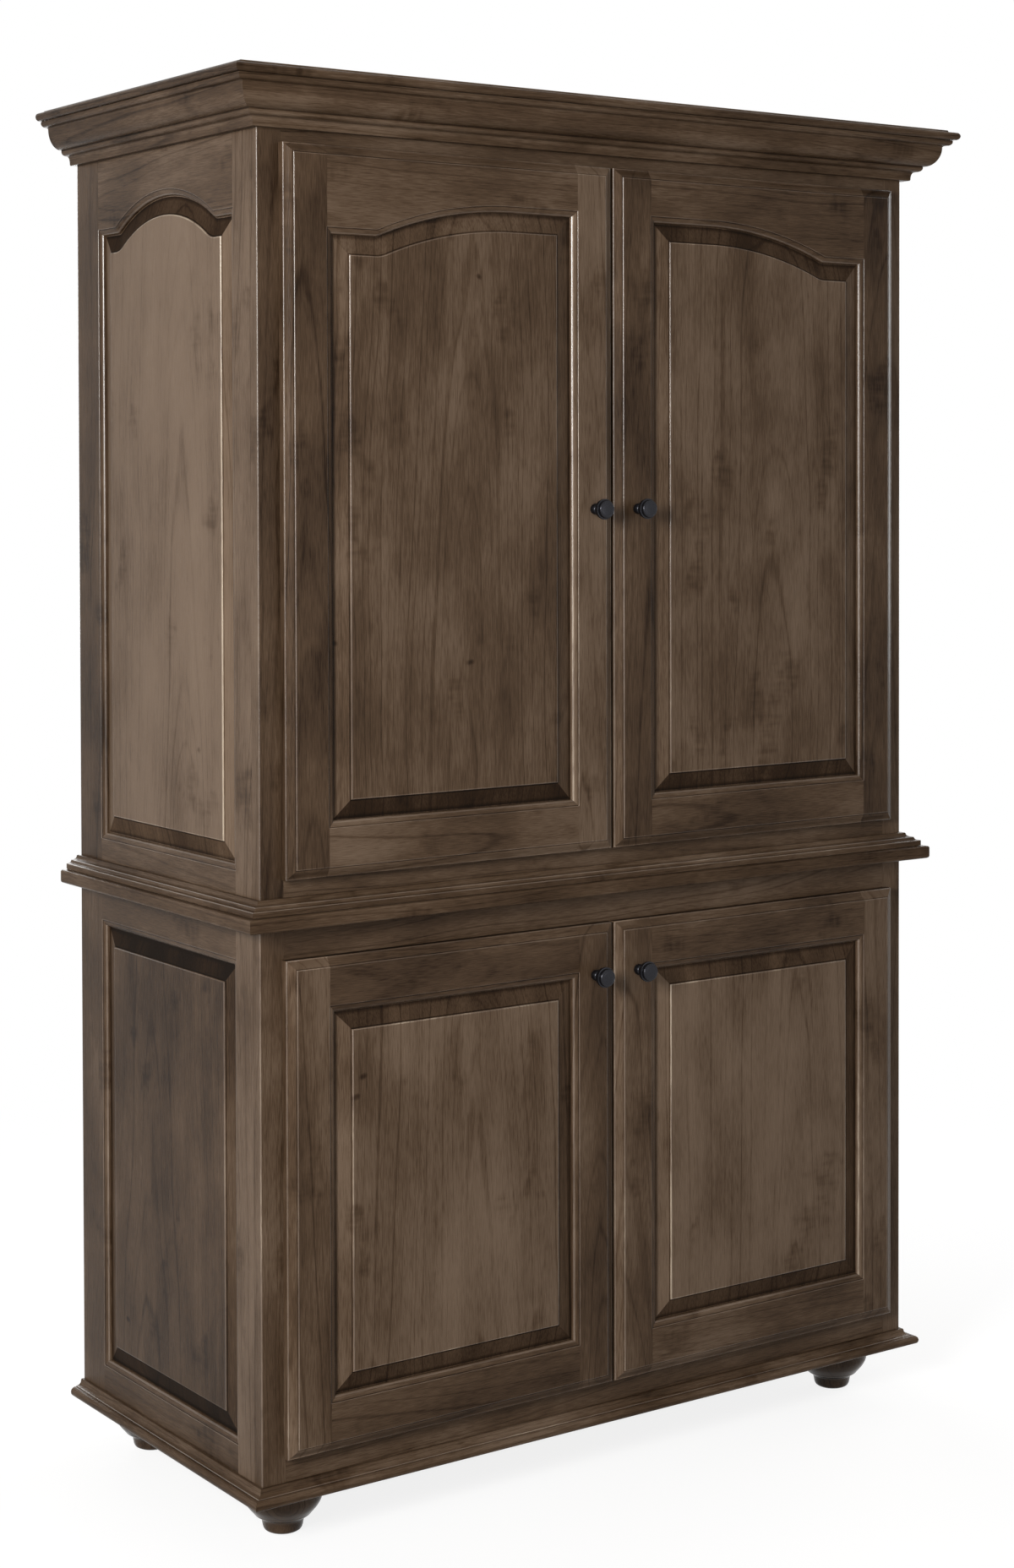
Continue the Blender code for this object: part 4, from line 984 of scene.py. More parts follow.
def bore_back(bm, back, bores, place, thickness):
    """Opens blind round holes in a back face."""
    edges = list(back.edges)
    bm.faces.remove(back)
    turns = [2 * pi * k / BORE_STEPS for k in range(BORE_STEPS)]
    for u, v in bores:
        rims = []
        circle = [(u + HINGE_CUP_RADIUS * cos(t), v + HINGE_CUP_RADIUS * sin(t)) for t in turns]
        for depth in (thickness, thickness - BORE_DEPTH):
            rims.append([bm.verts.new(place(a, b, depth)) for a, b in circle])
        for k in range(BORE_STEPS):
            edges.append(bm.edges.new((rims[0][k - 1], rims[0][k])))
            bm.faces.new((rims[0][k - 1], rims[0][k], rims[1][k], rims[1][k - 1]))
        bm.faces.new(rims[1])
    bmesh.ops.triangle_fill(bm, use_beauty=True, use_dissolve=False, edges=edges)


def rail_mesh(path, place, tall, outer, inner, reach):
    """A frame's rail: its inner profile follows the path, its outer one is straight above it.

    At both ends the inner profile is mitred into the stiles' and the face runs on over reach.
    """
    last = len(path) - 1
    width = path[-1][0]
    rings = []
    for k, (u, v, nu, nv) in enumerate(path):
        def at(lap, across):
            lap -= JOINT_LINE / 2
            return -lap if k == 0 else width + lap if k == last else across

        ring = [place(at(reach, u), tall - inset, depth) for inset, depth, _ in reversed(outer)]
        for inset, depth, _ in inner:
            lap = min(inset, reach) if depth <= STICK_DEPTH else reach
            ring.append(place(at(lap, u + nu * inset), v + nv * inset, depth))
        rings.append(ring)
    flags = [point[2] for point in reversed(outer)][:-1] + [False]
    flags += [point[2] for point in inner[1:]] + [False]
    return loft(rings, lambda _, side: flags[side])


class WINE_CABINET_OT_case(bpy.types.Operator):
    """Face frames, frame-and-panel sides and backs of both cases"""
    bl_idname = "wine_cabinet.case"
    bl_label = "Make cases"

    def face_frame(self, name, low, high, bottom_rail, top_rail):
        """Two stiles that run through, and two rails between them."""
        ease = bpy.context.scene.cabinet_sizes.ease
        thickness, tall = high.y - low.y, high.z - low.z
        square, plain = square_profile(ease, thickness), plain_profile(thickness)
        inner_x = SIDE_X - FACE_STILE
        forms = []
        for hand, part in ((-1, "_left_stile"), (1, "_right_stile")):
            def upright(u, v, depth):
                return (hand * (SIDE_X - u), low.y + depth, low.z + v)

            # The outer edges of the left stiles, seen on the cabinet's left side, painted paler as
            # painted sheen
            def corner_tone(point):
                at_corner = abs(point[0]) > SIDE_X - JOINT_LINE
                return SIDE_EDGE_SHEEN_LIFT.get(name + part, 0.0) if at_corner else 0.0

            bm, rounds = stile_mesh(upright, FACE_STILE, tall, (bottom_rail, tall - top_rail),
                                    square, square, plain, 0.0)
            forms.append(wooden(bm, UPRIGHT_FRONT, name + part, rounds, lift=corner_tone))
        for part, level, turn, wide in (("_bottom_rail", low.z + bottom_rail, -1, bottom_rail),
                                        ("_top_rail", high.z - top_rail, 1, top_rail)):
            def lengthwise(u, v, depth):
                return (u - inner_x, low.y + depth, level + turn * v)

            bm, rounds = rail_mesh(flat_path(2 * inner_x), lengthwise, wide, plain, square, 0.0)
            forms.append(wooden(bm, LEVEL_FRONT, name + part, rounds))
        wooden_piece(name, forms, "frame_wood")

    def side(self, prefix, hand, rails, arched):
        """Two stiles, a plain or arched top rail, a bottom rail and the raised panel between them."""
        low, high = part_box(prefix + "_side_frame")
        bottom_rail, top_rail = rails
        tall = high.z - low.z
        width = high.y - low.y - SIDE_FRONT_STILE - SIDE_BACK_STILE
        shoulder = tall - bottom_rail - top_rail
        path = flat_path(width)
        if arched:
            path = full_arch_path(width, SIDE_ARCH_RISE, SIDE_ARCH_SHOULDER)

        def place(u, v, depth):
            return (hand * (SIDE_X - depth), low.y + SIDE_FRONT_STILE + u, low.z + bottom_rail + v)

        ease = bpy.context.scene.cabinet_sizes.ease
        stick = stick_profile(ease, SIDE_THICKNESS)
        square, plain = square_profile(ease, SIDE_THICKNESS), plain_profile(SIDE_THICKNESS)
        forms = []
        for part, start, turn, wide, outer in (
                ("_front_stile", -SIDE_FRONT_STILE, 1, SIDE_FRONT_STILE, plain),
                ("_back_stile", width + SIDE_BACK_STILE, -1, SIDE_BACK_STILE, square)):
            def upright(u, v, depth):
                return place(start + turn * u, v - bottom_rail, depth)

            bm, rounds = stile_mesh(upright, wide, tall, (bottom_rail, bottom_rail + shoulder),
                                    outer, stick, plain, STICK_WIDTH)
            forms.append(wooden(bm, UPRIGHT_SIDE, prefix + part, rounds))
        for part, route, level, turn, wide in (("_bottom_rail", flat_path(width), 0.0, -1, bottom_rail),
                                               ("_top_rail", path, shoulder, 1, top_rail)):
            def lengthwise(u, v, depth):
                return place(u, level + turn * v, depth)

            bm, rounds = rail_mesh(route, lengthwise, wide, plain, stick, STICK_WIDTH)
            forms.append(wooden(bm, LEVEL_SIDE, prefix + part, rounds, tone=SIDE_RAIL_TONE))
        wooden_piece(prefix + "_side_frame", forms, "frame_wood")
        bm, rounds = raised_panel(path, shoulder, place)
        # Its upper bevel gets painted shade, most on the arched panels
        form = wooden(bm, UPRIGHT_SIDE, prefix + "_panel", rounds, ends=1.0, upper=TOP_BEVEL,
                      moulded=0.0, upper_bevel_shade=UPPER_BEVEL_SHADE * (1.0 if arched else SQUARE_BEVEL_SHADE_SHARE),
                      panel=lambda point: panel_recess(SIDE_X - abs(point[0])), crease=any_bend)
        wooden_piece(prefix + "_side_panel", [form], "panel_wood")

    def back(self, name):
        """Back board, a little inside the sides' rear edges, with rows of small screws."""
        low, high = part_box(name)
        rear = high.y - SCREW_PROUD
        sheet = board(tuple(low), (high.x, rear, high.z))
        wooden_piece(name, [wooden(sheet, UPRIGHT_FRONT, name)], "inside_wood")
        heads = []
        tall = high.z - low.z
        count = max(3, round(tall / BACK_SCREW_SPACING))
        for k in range(count):
            z = low.z + BACK_SCREW_END + (tall - 2 * BACK_SCREW_END) * k / (count - 1)
            heads += [(hand * (high.x - BACK_SCREW_SIDE), z) for hand in (-1, 1)]
        for x in BACK_SCREW_COLUMNS:
            heads += [(x, z) for z in (low.z + BACK_SCREW_RAIL, high.z - BACK_SCREW_RAIL)]
        steel_piece(name + "_screws", [screw_head((x, rear, z)) for x, z in heads], "cabinet")

    def execute(self, context):
        self.face_frame("lower_face_frame", LOWER_FACE_LOW, LOWER_FACE_HIGH, LOWER_FACE_BOTTOM,
                        LOWER_FACE_TOP)
        self.face_frame("upper_face_frame", UPPER_FACE_LOW, UPPER_FACE_HIGH, UPPER_FACE_BOTTOM,
                        UPPER_FACE_TOP)
        for side, hand in (("left", -1), ("right", 1)):
            self.side("lower_" + side, hand, LOWER_SIDE_RAILS, False)
            self.side("upper_" + side, hand, UPPER_SIDE_RAILS, True)
        self.back("lower_back")
        self.back("upper_back")
        for name in ("lower_floor", "upper_floor"):
            wooden_piece(name, [wooden(cad_shape(name), FLAT_WIDE, name)], "inside_wood")
        return {"FINISHED"}


def screw_head(spot):
    """A small domed screw head with a round recess, standing on a surface that faces the back."""
    shares = [(0, 0.55), (0.22, 0.55), (0.30, 0.98), (0.62, 0.86), (0.90, 0.45), (1.0, 0.0), (0, -0.5)]
    bm = turned([(SCREW_RADIUS * r, SCREW_PROUD * z) for r, z in shares], SCREW_SEGMENTS)
    turn = Vector((0, 1, 0)).to_track_quat("Z", "Y").to_matrix().to_4x4()
    bmesh.ops.transform(bm, verts=bm.verts, matrix=Matrix.Translation(Vector(spot)) @ turn)
    bmesh.ops.recalc_face_normals(bm, faces=bm.faces)
    return metal(bm, 0)


# Mouldings: profiles as (distance out from the case, height above the moulding's bottom), drawn in
# shares of the whole reach and height
def crown_profile():
    """From the foot up: a bead, a quarter round, a long cove and a small quarter round."""
    out, tall = CROWN_OUT, CROWN_TOP - CROWN_BOTTOM
    foot = 0.20 * out
    profile = [(SEAT_GAP, 0), (0.165 * out, 0)]
    profile += quarter((0.165 * out, 0), (foot, 0.04 * tall), True, FILLET_STEPS)
    profile += quarter((foot, 0.04 * tall), (0.265 * out, 0.21 * tall), False, BEAD_STEPS)
    profile += [(0.31 * out, 0.22 * tall)]
    profile += quarter((0.31 * out, 0.22 * tall), (0.435 * out, 0.315 * tall), True, BEAD_STEPS)
    profile += [(0.435 * out, 0.348 * tall), (0.45 * out, 0.35 * tall)]
    profile += quarter((0.45 * out, 0.35 * tall), (0.80 * out, 0.83 * tall), True, 2 * BEAD_STEPS)
    profile += quarter((0.80 * out, 0.83 * tall), (0.89 * out, 0.866 * tall), False, FILLET_STEPS)
    profile += quarter((0.89 * out, 0.866 * tall), (out, 0.96 * tall), True, BEAD_STEPS)
    return profile + [(out, tall), (SEAT_GAP, tall)]


def waist_profile():
    """From the foot up: a flat, a small cove, a step and a longer cove."""
    out, tall = WAIST_OUT, WAIST_TOP - WAIST_BOTTOM
    profile = [(SEAT_GAP, 0), (out, 0), (out, 0.42 * tall), (0.84 * out, 0.45 * tall)]
    profile += quarter((0.84 * out, 0.45 * tall), (0.68 * out, 0.66 * tall), True, BEAD_STEPS)
    profile += [(0.62 * out, 0.68 * tall)]
    profile += quarter((0.62 * out, 0.68 * tall), (0.30 * out, 0.90 * tall), True, BEAD_STEPS)
    profile += quarter((0.30 * out, 0.90 * tall), (0.20 * out, tall), False, FILLET_STEPS)
    return profile + [(SEAT_GAP, tall)]


def counter_edge():
    """A square edge rounded below and eased above."""
    out, tall = COUNTER_OUT, COUNTER_TOP - COUNTER_BOTTOM
    profile = [(0.86 * out, 0)]
    profile += quarter((0.86 * out, 0), (out, 0.22 * tall), True, BEAD_STEPS)
    profile += [(out, 0.84 * tall)]
    return profile + quarter((out, 0.84 * tall), (0.88 * out, tall), False, BEAD_STEPS)


def base_edge():
    """From the foot up: a rounded nose, a groove, an ogee and a fillet."""
    out, tall = BASE_OUT, BASE_TOP - BASE_BOTTOM
    profile = [(0.84 * out, 0)]
    profile += quarter((0.84 * out, 0), (out, 0.27 * tall), True, BEAD_STEPS)
    profile += quarter((out, 0.27 * tall), (0.66 * out, 0.56 * tall), False, BEAD_STEPS)
    profile += [(0.61 * out, 0.545 * tall), (0.585 * out, 0.60 * tall)]
    profile += quarter((0.585 * out, 0.60 * tall), (0.25 * out, 0.85 * tall), True, BEAD_STEPS)
    profile += [(0.225 * out, 0.94 * tall)]
    return profile + quarter((0.225 * out, 0.94 * tall), (0.16 * out, tall), False, FILLET_STEPS)


def top_edge():
    """A rounded nose and a small ogee above it."""
    out, tall = TOP_OUT, TOP_TOP - TOP_BOTTOM
    profile = [(0.91 * out, 0)]
    profile += quarter((0.91 * out, 0), (out, 0.38 * tall), True, BEAD_STEPS)
    profile += quarter((out, 0.38 * tall), (0.92 * out, 0.74 * tall), False, BEAD_STEPS)
    profile += [(0.84 * out, 0.755 * tall)]
    return profile + quarter((0.84 * out, 0.755 * tall), (0.79 * out, tall), True, BEAD_STEPS)


class WINE_CABINET_OT_mouldings(bpy.types.Operator):
    """Top, crown, waist moulding, counter and base, each mitred at its front corners"""
    bl_idname = "wine_cabinet.mouldings"
    bl_label = "Make mouldings"

    def lengths(self, name, profile, bottom):
        """The left, front and right lengths of a moulding, mitred where they meet."""
        slack = JOINT_LINE / 2
        finish = {"ease": MOULDING_EASE, "moulded": 0.4, "level": 1.0}
        forms = []
        for hand in (-1, 1):
            rings = [[(hand * (SIDE_X + out), BACK_Y, bottom + up) for out, up in profile],
                     [(hand * (SIDE_X + out), FRONT_Y - out + slack, bottom + up) for out, up in profile]]
            forms.append(wooden(loft(rings)[0], LEVEL_SIDE, name + str(hand), **finish))
        rings = []
        for hand in (-1, 1):
            rings.append([(hand * (SIDE_X + out - slack), FRONT_Y - out, bottom + up)
                          for out, up in profile])
        forms.append(wooden(loft(rings)[0], LEVEL_FRONT, name + "front", **finish))
        return forms

    def moulded_board(self, name, edge, bottom, top):
        """A flat board bordered by three mitred lengths with the routed edge."""
        tall = top - bottom
        profile = [(-BORDER_WIDTH, 0)] + edge + [(-BORDER_WIDTH, tall)]
        forms = self.lengths(name, profile, bottom)
        reach = SIDE_X - BORDER_WIDTH - JOINT_LINE / 2
        core = board((-reach, FRONT_Y + BORDER_WIDTH + JOINT_LINE / 2, bottom + CORE_INSET),
                     (reach, BACK_Y, top - CORE_INSET))
        forms.append(wooden(core, FLAT_WIDE, name + "core"))
        wooden_piece(name, forms, "moulding_wood")

    def execute(self, context):
        for name, profile, bottom in (("crown_moulding", crown_profile(), CROWN_BOTTOM),
                                      ("waist_moulding", waist_profile(), WAIST_BOTTOM)):
            wooden_piece(name, self.lengths(name, profile, bottom), "moulding_wood")
        self.moulded_board("top_board", top_edge(), TOP_BOTTOM, TOP_TOP)
        self.moulded_board("counter", counter_edge(), COUNTER_BOTTOM, COUNTER_TOP)
        self.moulded_board("base_board", base_edge(), BASE_BOTTOM, BASE_TOP)
        return {"FINISHED"}


def hinge_names(body):
    """A door's hinge nodes, from the lowest; its hinge stile is named much like them."""
    start = body + "_hinge_"
    count = sum(1 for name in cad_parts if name.startswith(start) and name != start + "stile")
    return [start + str(k + 1) for k in range(count)]


class WINE_CABINET_OT_doors(bpy.types.Operator):
    """Stiles, rails and raised panels of the four doors"""
    bl_idname = "wine_cabinet.doors"
    bl_label = "Make doors"

    def door(self, body, hand):
        """Two stiles, two rails and the panel of one door, measured from its hinged edge."""
        low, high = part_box(body + "_hinge_stile")
        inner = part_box(body + "_lock_stile")
        edge = low.x if hand > 0 else high.x
        stile = high.x - low.x
        width = abs((inner[1].x if hand > 0 else inner[0].x) - edge)
        height = high.z - low.z
        arched = body.startswith("upper")
        rise = DOOR_ARCH_RISE if arched else 0.0
        opening = width - 2 * stile
        shoulder = height - DOOR_RAIL - rise
        path = flat_path(opening)
        if arched:
            path = arch_path(opening, rise, DOOR_ARCH_SHOULDER, DOOR_ARCH_CREST)

        def place(across, up, depth):
            return (edge + hand * across, DOOR_FACE_Y + depth, low.z + up)

        ease = bpy.context.scene.cabinet_sizes.ease
        lip, stick = lip_profile(ease, DOOR_THICKNESS), stick_profile(ease, DOOR_THICKNESS)
        bores = []
        for name in hinge_names(body):
            hinge_low, hinge_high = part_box(name)
            bores.append((HINGE_CUP_CENTRE, (hinge_low.z + hinge_high.z) / 2 - low.z))
        for part, start, turn, opening_top, holes in (
                ("_hinge_stile", 0.0, 1, shoulder, bores),
                ("_lock_stile", width, -1, shoulder + rise, ())):
            def upright(u, v, depth):
                return place(start + turn * u, v, depth)

            bm, rounds = stile_mesh(upright, stile, height, (DOOR_RAIL, opening_top), lip, stick, lip,
                                    STICK_WIDTH, holes)
            form = wooden(bm, UPRIGHT_FRONT, body + part, rounds, edges=LEVEL_EDGE_DARKENING, crease=mitre)
            wooden_piece(body + part, [form], "frame_wood", body)
        for part, route, level, turn, wide in (
                ("_bottom_rail", flat_path(opening), DOOR_RAIL, -1, DOOR_RAIL),
                ("_top_rail", path, shoulder, 1, height - shoulder)):
            def lengthwise(u, v, depth):
                return place(stile + u, level + turn * v, depth)

            bm, rounds = rail_mesh(route, lengthwise, wide, lip, stick, STICK_WIDTH)
            form = wooden(bm, LEVEL_FRONT, body + part, rounds, edges=LEVEL_EDGE_DARKENING)
            wooden_piece(body + part, [form], "frame_wood", body)
        name = body + "_raised_panel"
        bm, rounds = raised_panel(path, shoulder - DOOR_RAIL,
                                  lambda u, v, depth: place(stile + u, DOOR_RAIL + v, depth))
        # The lower doors' right-hand bevels get painted shade
        form = wooden(bm, UPRIGHT_FRONT, name, rounds, ends=1.0, upper=TOP_BEVELS.get(body, TOP_BEVEL),
                      moulded=0.0, far=FAR_BEVEL_SHADE.get(body, 0.0),
                      panel=lambda point: panel_recess(point[1] - DOOR_FACE_Y), crease=any_bend)
        wooden_piece(name, [form], "panel_wood", body)

    def execute(self, context):
        for body, hand in DOORS.items():
            self.door(body, hand)
        return {"FINISHED"}


class WINE_CABINET_OT_knobs(bpy.types.Operator):
    """Ringed black knobs, each with its screw behind the door"""
    bl_idname = "wine_cabinet.knobs"
    bl_label = "Make knobs"

    def profile(self, head, ball, neck, face):
        """From the foot against the door to the dished face: ball, thin neck and stepped head."""
        points = [(0, SEAT_GAP), (0.72 * ball, SEAT_GAP)]
        points += quarter((0.72 * ball, SEAT_GAP), (ball, 0.13 * face), True, 6)
        points += quarter((ball, 0.13 * face), (neck, 0.34 * face), False, BEAD_STEPS)
        points += [(neck, 0.42 * face)]
        points += quarter((neck, 0.42 * face), (0.86 * head, 0.62 * face), False, BEAD_STEPS)
        for radius, low, high in ((0.93, 0.63, 0.71), (1.0, 0.73, 0.83)):
            points += [(radius * head, low * face), (radius * head, high * face)]
            points += [(0.88 * head, (high + 0.01) * face)]
        points += quarter((0.88 * head, 0.92 * face), (0.74 * head, face), False, 5)
        points += [(0.70 * head, 0.985 * face), (0.62 * head, 0.985 * face)]
        return points + quarter((0.62 * head, 0.985 * face), (0, 0.997 * face), False, 5)

    def execute(self, context):
        segments = context.scene.cabinet_sizes.turn_segments
        for body in DOORS:
            name = body + "_knob"
            low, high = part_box(name)
            head = (high.z - low.z) / 2
            spot = Vector(((low.x + high.x) / 2, DOOR_FACE_Y, (low.z + high.z) / 2))
            ball, neck = 0.548 * head, 0.335 * head
            bm = turned(self.profile(head, ball, neck, KNOB_LENGTH), segments)
            turn = Matrix.Translation(spot) @ Matrix.Rotation(pi / 2, 4, "X")
            bmesh.ops.transform(bm, verts=bm.verts, matrix=turn)
            make_piece(name, [metal(bm, METAL_EASE)], blackened_bronze(), body, "black_bronze", name)
            steel_piece(name + "_screw", [screw_head((spot.x, DOOR_BACK_Y, spot.z))], body)
        return {"FINISHED"}


class WINE_CABINET_OT_feet(bpy.types.Operator):
    """Turned bun feet"""
    bl_idname = "wine_cabinet.feet"
    bl_label = "Make feet"

    def profile(self, ball, tall):
        """From the floor up: rounded cup, flared neck and squat ball, in shares of radius and height."""
        cup = [(0.84, 0.0), (0.98, 0.03), (1.05, 0.08), (1.09, 0.15), (1.13, 0.21), (1.19, 0.25)]
        neck = [(1.30, 0.28), (1.43, 0.305), (1.52, 0.33)]
        points = [(FOOT_BASE_RADIUS * r, tall * z) for r, z in cup + neck]
        bulge = [(0.770, 0.37), (0.840, 0.43), (0.913, 0.50), (0.977, 0.59), (1.0, 0.67),
                 (0.975, 0.79), (0.89, 0.90)]
        points += [(ball * r, tall * z) for r, z in bulge] + [(FOOT_TOP_RADIUS, tall)]
        return [(0, 0)] + curve_through(points, FOOT_STEPS) + [(0, tall)]

    def execute(self, context):
        segments = context.scene.cabinet_sizes.turn_segments
        for end in ("front", "back"):
            for side in ("left", "right"):
                name = end + "_" + side + "_foot"
                low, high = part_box(name)
                bm = turned(self.profile((high.y - low.y) / 2, high.z - low.z), segments)
                bmesh.ops.translate(bm, verts=bm.verts,
                                    vec=((low.x + high.x) / 2, (low.y + high.y) / 2, low.z))
                form = wooden(bm, UPRIGHT_FRONT, name, ease=FOOT_EASE, ends_square=False, ends=0.0,
                              moulded=0.0)
                wooden_piece(name, [form], "foot_wood")
        return {"FINISHED"}


class WINE_CABINET_OT_hinges(bpy.types.Operator):
    """Concealed hinges: arm and plate on the case, pressed cup with screws in the door"""
    bl_idname = "wine_cabinet.hinges"
    bl_label = "Make hinges"

    def cup(self, spot):
        """A pressed bowl with a flat flange, set in the bore of the door's back."""
        rim, wall, floor = HINGE_CUP_RADIUS - 0.0003, 0.0004, -CUP_DEPTH
        flange, flange_low, flange_high = rim + 0.0022, 0.0003, 0.0008
        outline = [(0, floor), (rim - 0.0015, floor), (rim, floor + 0.0015), (rim, flange_low),
                   (flange, flange_low), (flange, flange_high), (rim - wall, flange_high),
                   (rim - wall, floor + 0.0017), (rim - wall - 0.0013, floor + wall),
                   (0, floor + wall)]
        bm = turned(outline, CUP_SEGMENTS)
        turn = Matrix.Translation(Vector(spot)) @ Matrix.Rotation(-pi / 2, 4, "X")
        bmesh.ops.transform(bm, verts=bm.verts, matrix=turn)
        bmesh.ops.recalc_face_normals(bm, faces=bm.faces)
        return metal(bm, 0)

    def execute(self, context):
        for body, hand in DOORS.items():
            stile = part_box(body + "_hinge_stile")
            edge = stile[0].x if hand > 0 else stile[1].x
            cups = []
            for name in hinge_names(body):
                low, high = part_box(name)
                steel_piece(name, [metal(cad_shape(name), METAL_EASE)], "cabinet", name)
                x, z = edge + hand * HINGE_CUP_CENTRE, (low.z + high.z) / 2
                cups.append(self.cup((x, DOOR_BACK_Y, z)))
                for rise in (-CUP_SCREW_RISE, CUP_SCREW_RISE):
                    cups.append(screw_head((x + hand * CUP_SCREW_SHIFT, DOOR_BACK_Y, z + rise)))
            steel_piece(body + "_hinge_cups", cups, body)
        return {"FINISHED"}


class WINE_CABINET_OT_inside(bpy.types.Operator):
    """Shelf on pins, rails for hanging glasses, and bins for bottles"""
    bl_idname = "wine_cabinet.inside"
    bl_label = "Make inside"

    def execute(self, context):
        for name, axes in (("upper_shelf", FLAT_WIDE), ("glass_rack", FLAT_DEEP),
                           ("bottle_bins", FLAT_DEEP)):
            form = wooden(cad_shape(name), axes, name, ends_square=False)
            wooden_piece(name, [form], "inside_wood")
        low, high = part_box("upper_shelf")
        # Collar against the case, then a tapered pin with a rounded tip
        pin = [(0, -0.0002), (0.0042, -0.0002), (0.0042, 0.0012), (0.0032, 0.0016), (0.0030, 0.0085),
               (0.0024, 0.0095), (0, 0.0095)]
        pins = []
        for x, hand in ((low.x, 1), (high.x, -1)):
            for y in (low.y + PIN_INSET, high.y - PIN_INSET):
                bm = turned(pin, SCREW_SEGMENTS)
                spot = Matrix.Translation((x, y, low.z - PIN_DROP))
                turn = Matrix.Rotation(hand * pi / 2, 4, "Y")
                bmesh.ops.transform(bm, verts=bm.verts, matrix=spot @ turn)
                pins.append(metal(bm, 0))
        steel_piece("upper_shelf_pins", pins, "cabinet")
        return {"FINISHED"}


class WINE_CABINET_OT_stage(bpy.types.Operator):
    """Pale floor, white surroundings, soft lamps and the camera"""
    bl_idname = "wine_cabinet.stage"
    bl_label = "Make stage"

    def seen_white(self, tree):
        """1 for rays that show the background: from the camera, or off metal, gloss and glass."""
        path = node(tree, "ShaderNodeLightPath").outputs
        either = node(tree, "ShaderNodeMath", {0: path["Is Camera Ray"], 1: path["Is Glossy Ray"]},
                      operation="MAXIMUM").outputs[0]
        return node(tree, "ShaderNodeMath", {0: either, 1: path["Is Transmission Ray"]},
                    operation="MAXIMUM").outputs[0]

    def floor(self):
        """A paper sweep that shows the cabinet's shadow near it and is plain white further off."""
        half = 9.0
        mesh = bpy.data.meshes.new("floor")
        mesh.from_pydata([(-half, -half, 0), (half, -half, 0), (half, half, 0), (-half, half, 0)], [],
                         [(0, 1, 2, 3)])
        item = bpy.data.objects.new("floor", mesh)
        bpy.context.scene.collection.objects.link(item)
        material = new_material("matt_paper_sweep")
        tree = material.node_tree
        tint = bpy.context.scene.cabinet_colours.floor_pale
        # Paper tooth, finer than 1 mm, drawn at 3 mm and still too faint to see from here
        where = node(tree, "ShaderNodeTexCoord").outputs["Object"]
        tooth = node(tree, "ShaderNodeTexNoise", {"Vector": where, "Scale": 1 / 0.003})
        bump = node(tree, "ShaderNodeBump", {"Strength": 0.05, "Distance": 0.0002,
                                             "Height": tooth.outputs["Fac"]})
        # The shadow fades out between these distances from the cabinet's middle, in metres
        away = node(tree, "ShaderNodeVectorMath", {0: where}, operation="LENGTH").outputs["Value"]
        far = node(tree, "ShaderNodeMapRange", {"Value": away, "From Min": 0.7, "From Max": 2.4},
                   interpolation_type="SMOOTHSTEP").outputs[0]
        # Near by, a little light from the lamps on top of an even glow comes to white in all
        lit = node(tree, "ShaderNodeBsdfDiffuse", {"Color": (*[0.24 * t for t in tint], 1),
                                                   "Normal": bump.outputs["Normal"]})
        glow = node(tree, "ShaderNodeEmission", {"Color": (1, 1, 1, 1), "Strength": 0.84})
        near = node(tree, "ShaderNodeAddShader", {0: lit.outputs[0], 1: glow.outputs[0]})
        white = node(tree, "ShaderNodeEmission", {"Color": (1, 1, 1, 1), "Strength": 1.0})
        shown = node(tree, "ShaderNodeMixShader", {0: far, 1: near.outputs[0], 2: white.outputs[0]})
        # What the floor throws back onto the cabinet
        plain = node(tree, "ShaderNodeBsdfDiffuse", {"Color": (*[0.45 * t for t in tint], 1)})
        mix = node(tree, "ShaderNodeMixShader", {0: self.seen_white(tree), 1: plain.outputs[0],
                                                 2: shown.outputs[0]})
        node(tree, "ShaderNodeOutputMaterial", {"Surface": mix.outputs[0]})
        mesh.materials.append(material)

    def surroundings(self):
        """White to the camera and in reflections, and only a faint fill light on the cabinet."""
        world = bpy.data.worlds.new("white_surroundings")
        world.use_nodes = True
        tree = world.node_tree
        tree.nodes.clear()
        strength = node(tree, "ShaderNodeMapRange", {"Value": self.seen_white(tree), "To Min": 0.10,
                                                     "To Max": 1.0})
        sky = node(tree, "ShaderNodeBackground", {"Color": (1, 1, 1, 1),
                                                  "Strength": strength.outputs[0]})
        node(tree, "ShaderNodeOutputWorld", {"Surface": sky.outputs[0]})
        bpy.context.scene.world = world

    def lamp(self, name, place, target, size, watts):
        """A soft rectangular lamp that looks at its target."""
        data = bpy.data.lights.new(name, "AREA")
        data.shape = "RECTANGLE"
        data.size, data.size_y = size
        data.energy = watts
        item = bpy.data.objects.new(name, data)
        item.location = place
        item.rotation_euler = (Vector(target) - Vector(place)).to_track_quat("-Z", "Y").to_euler()
        bpy.context.scene.collection.objects.link(item)

    def camera(self):
        """Placed so that the case's corners fall where the photograph has them."""
        data = bpy.data.cameras.new("camera")
        data.lens = 61.15
        data.sensor_width = 36.0
        data.shift_y = -0.1571
        data.clip_end = 50
        item = bpy.data.objects.new("camera", data)
        item.location = (-2.456, -3.493, 1.520)
        item.rotation_euler = (radians(88.728), radians(0.138), radians(-34.983))
        bpy.context.scene.collection.objects.link(item)
        bpy.context.scene.camera = item

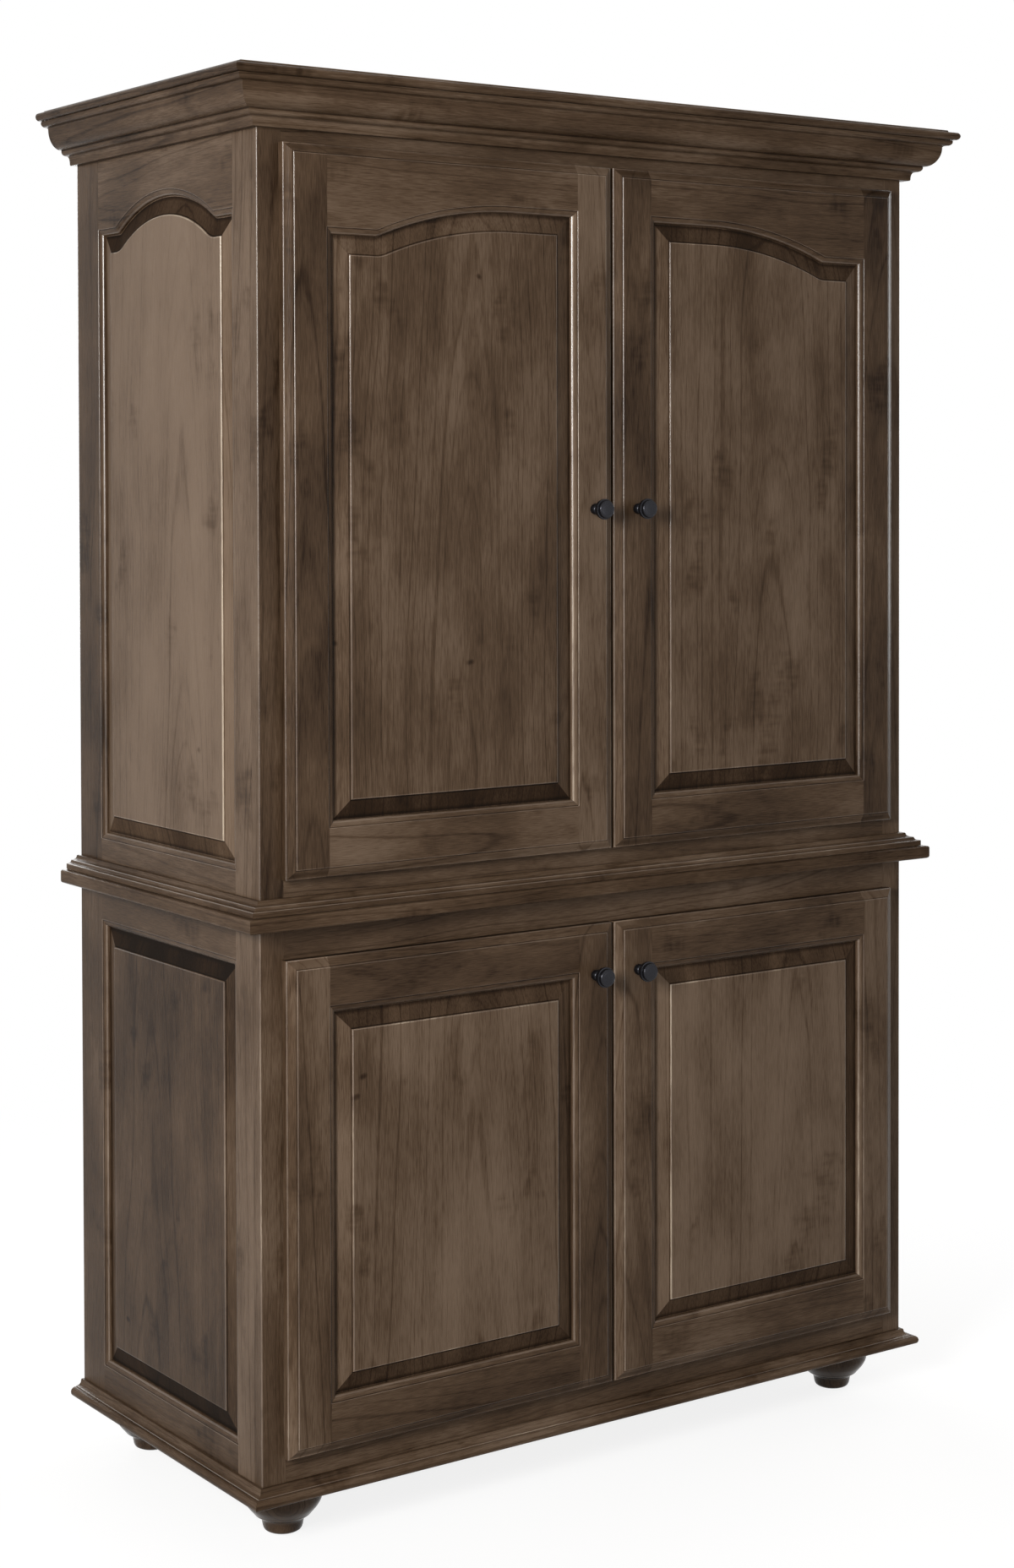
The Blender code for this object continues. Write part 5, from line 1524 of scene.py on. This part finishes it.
    def execute(self, context):
        context.scene.view_settings.view_transform = "Standard"
        self.floor()
        self.surroundings()
        self.lamp("left_softbox", (-3.8, -2.2, 2.2), (-0.2, -0.2, 1.15), (1.0, 1.3), 192)
        self.lamp("strip_softbox", (-1.7, -4.3, 1.4), (0.0, -0.25, 1.2), (0.4, 2.0), 36)
        self.lamp("front_softbox", (1.3, -4.4, 1.2), (0.2, -0.25, 0.9), (2.0, 1.4), 12)
        self.lamp("rear_softbox", (-2.75, 3.6, 1.5), (-0.6, 0.1, 1.2), (0.6, 2.3), 4)
        self.lamp("overhead_softbox", (0.2, -1.7, 4.0), (0.0, -0.2, 1.0), (1.2, 0.6), 4)
        self.lamp("top_softbox", (0.0, 0.3, 4.4), (0.0, 0.1, 2.0), (1.6, 0.8), 26)
        self.lamp("right_softbox", (3.9, 1.4, 2.0), (0.6, 0.05, 1.1), (2.6, 2.2), 85)
        self.lamp("back_softbox", (1.1, 4.6, 2.0), (0.0, 0.3, 1.1), (2.6, 2.2), 95)
        self.camera()
        return {"FINISHED"}


class WINE_CABINET_PT_sidebar(bpy.types.Panel):
    """Lists the cabinet's sizes, colours and pieces"""
    bl_label = "Wine cabinet"
    bl_idname = "WINE_CABINET_PT_sidebar"
    bl_space_type = "VIEW_3D"
    bl_region_type = "UI"
    bl_category = "Cabinet"

    def draw(self, context):
        for group in (context.scene.cabinet_sizes, context.scene.cabinet_colours):
            box = self.layout.box()
            for key in group.__annotations__:
                box.prop(group, key)
        for piece in PIECES:
            self.layout.operator(piece.bl_idname)


PIECES = (
    WINE_CABINET_OT_stage,
    WINE_CABINET_OT_case,
    WINE_CABINET_OT_mouldings,
    WINE_CABINET_OT_doors,
    WINE_CABINET_OT_knobs,
    WINE_CABINET_OT_feet,
    WINE_CABINET_OT_hinges,
    WINE_CABINET_OT_inside,
)
CLASSES = (CabinetColours, CabinetSizes, *PIECES, WINE_CABINET_PT_sidebar)


def register():
    for item in CLASSES:
        bpy.utils.register_class(item)
    bpy.types.Scene.cabinet_colours = PointerProperty(type=CabinetColours)
    bpy.types.Scene.cabinet_sizes = PointerProperty(type=CabinetSizes)


def unregister():
    del bpy.types.Scene.cabinet_sizes
    del bpy.types.Scene.cabinet_colours
    for item in reversed(CLASSES):
        bpy.utils.unregister_class(item)


def main():
    register()
    bpy.ops.wine_cabinet.stage()
    bpy.ops.wine_cabinet.case()
    bpy.ops.wine_cabinet.mouldings()
    bpy.ops.wine_cabinet.doors()
    bpy.ops.wine_cabinet.knobs()
    bpy.ops.wine_cabinet.feet()
    bpy.ops.wine_cabinet.hinges()
    bpy.ops.wine_cabinet.inside()


if __name__ == "__main__":
    main()
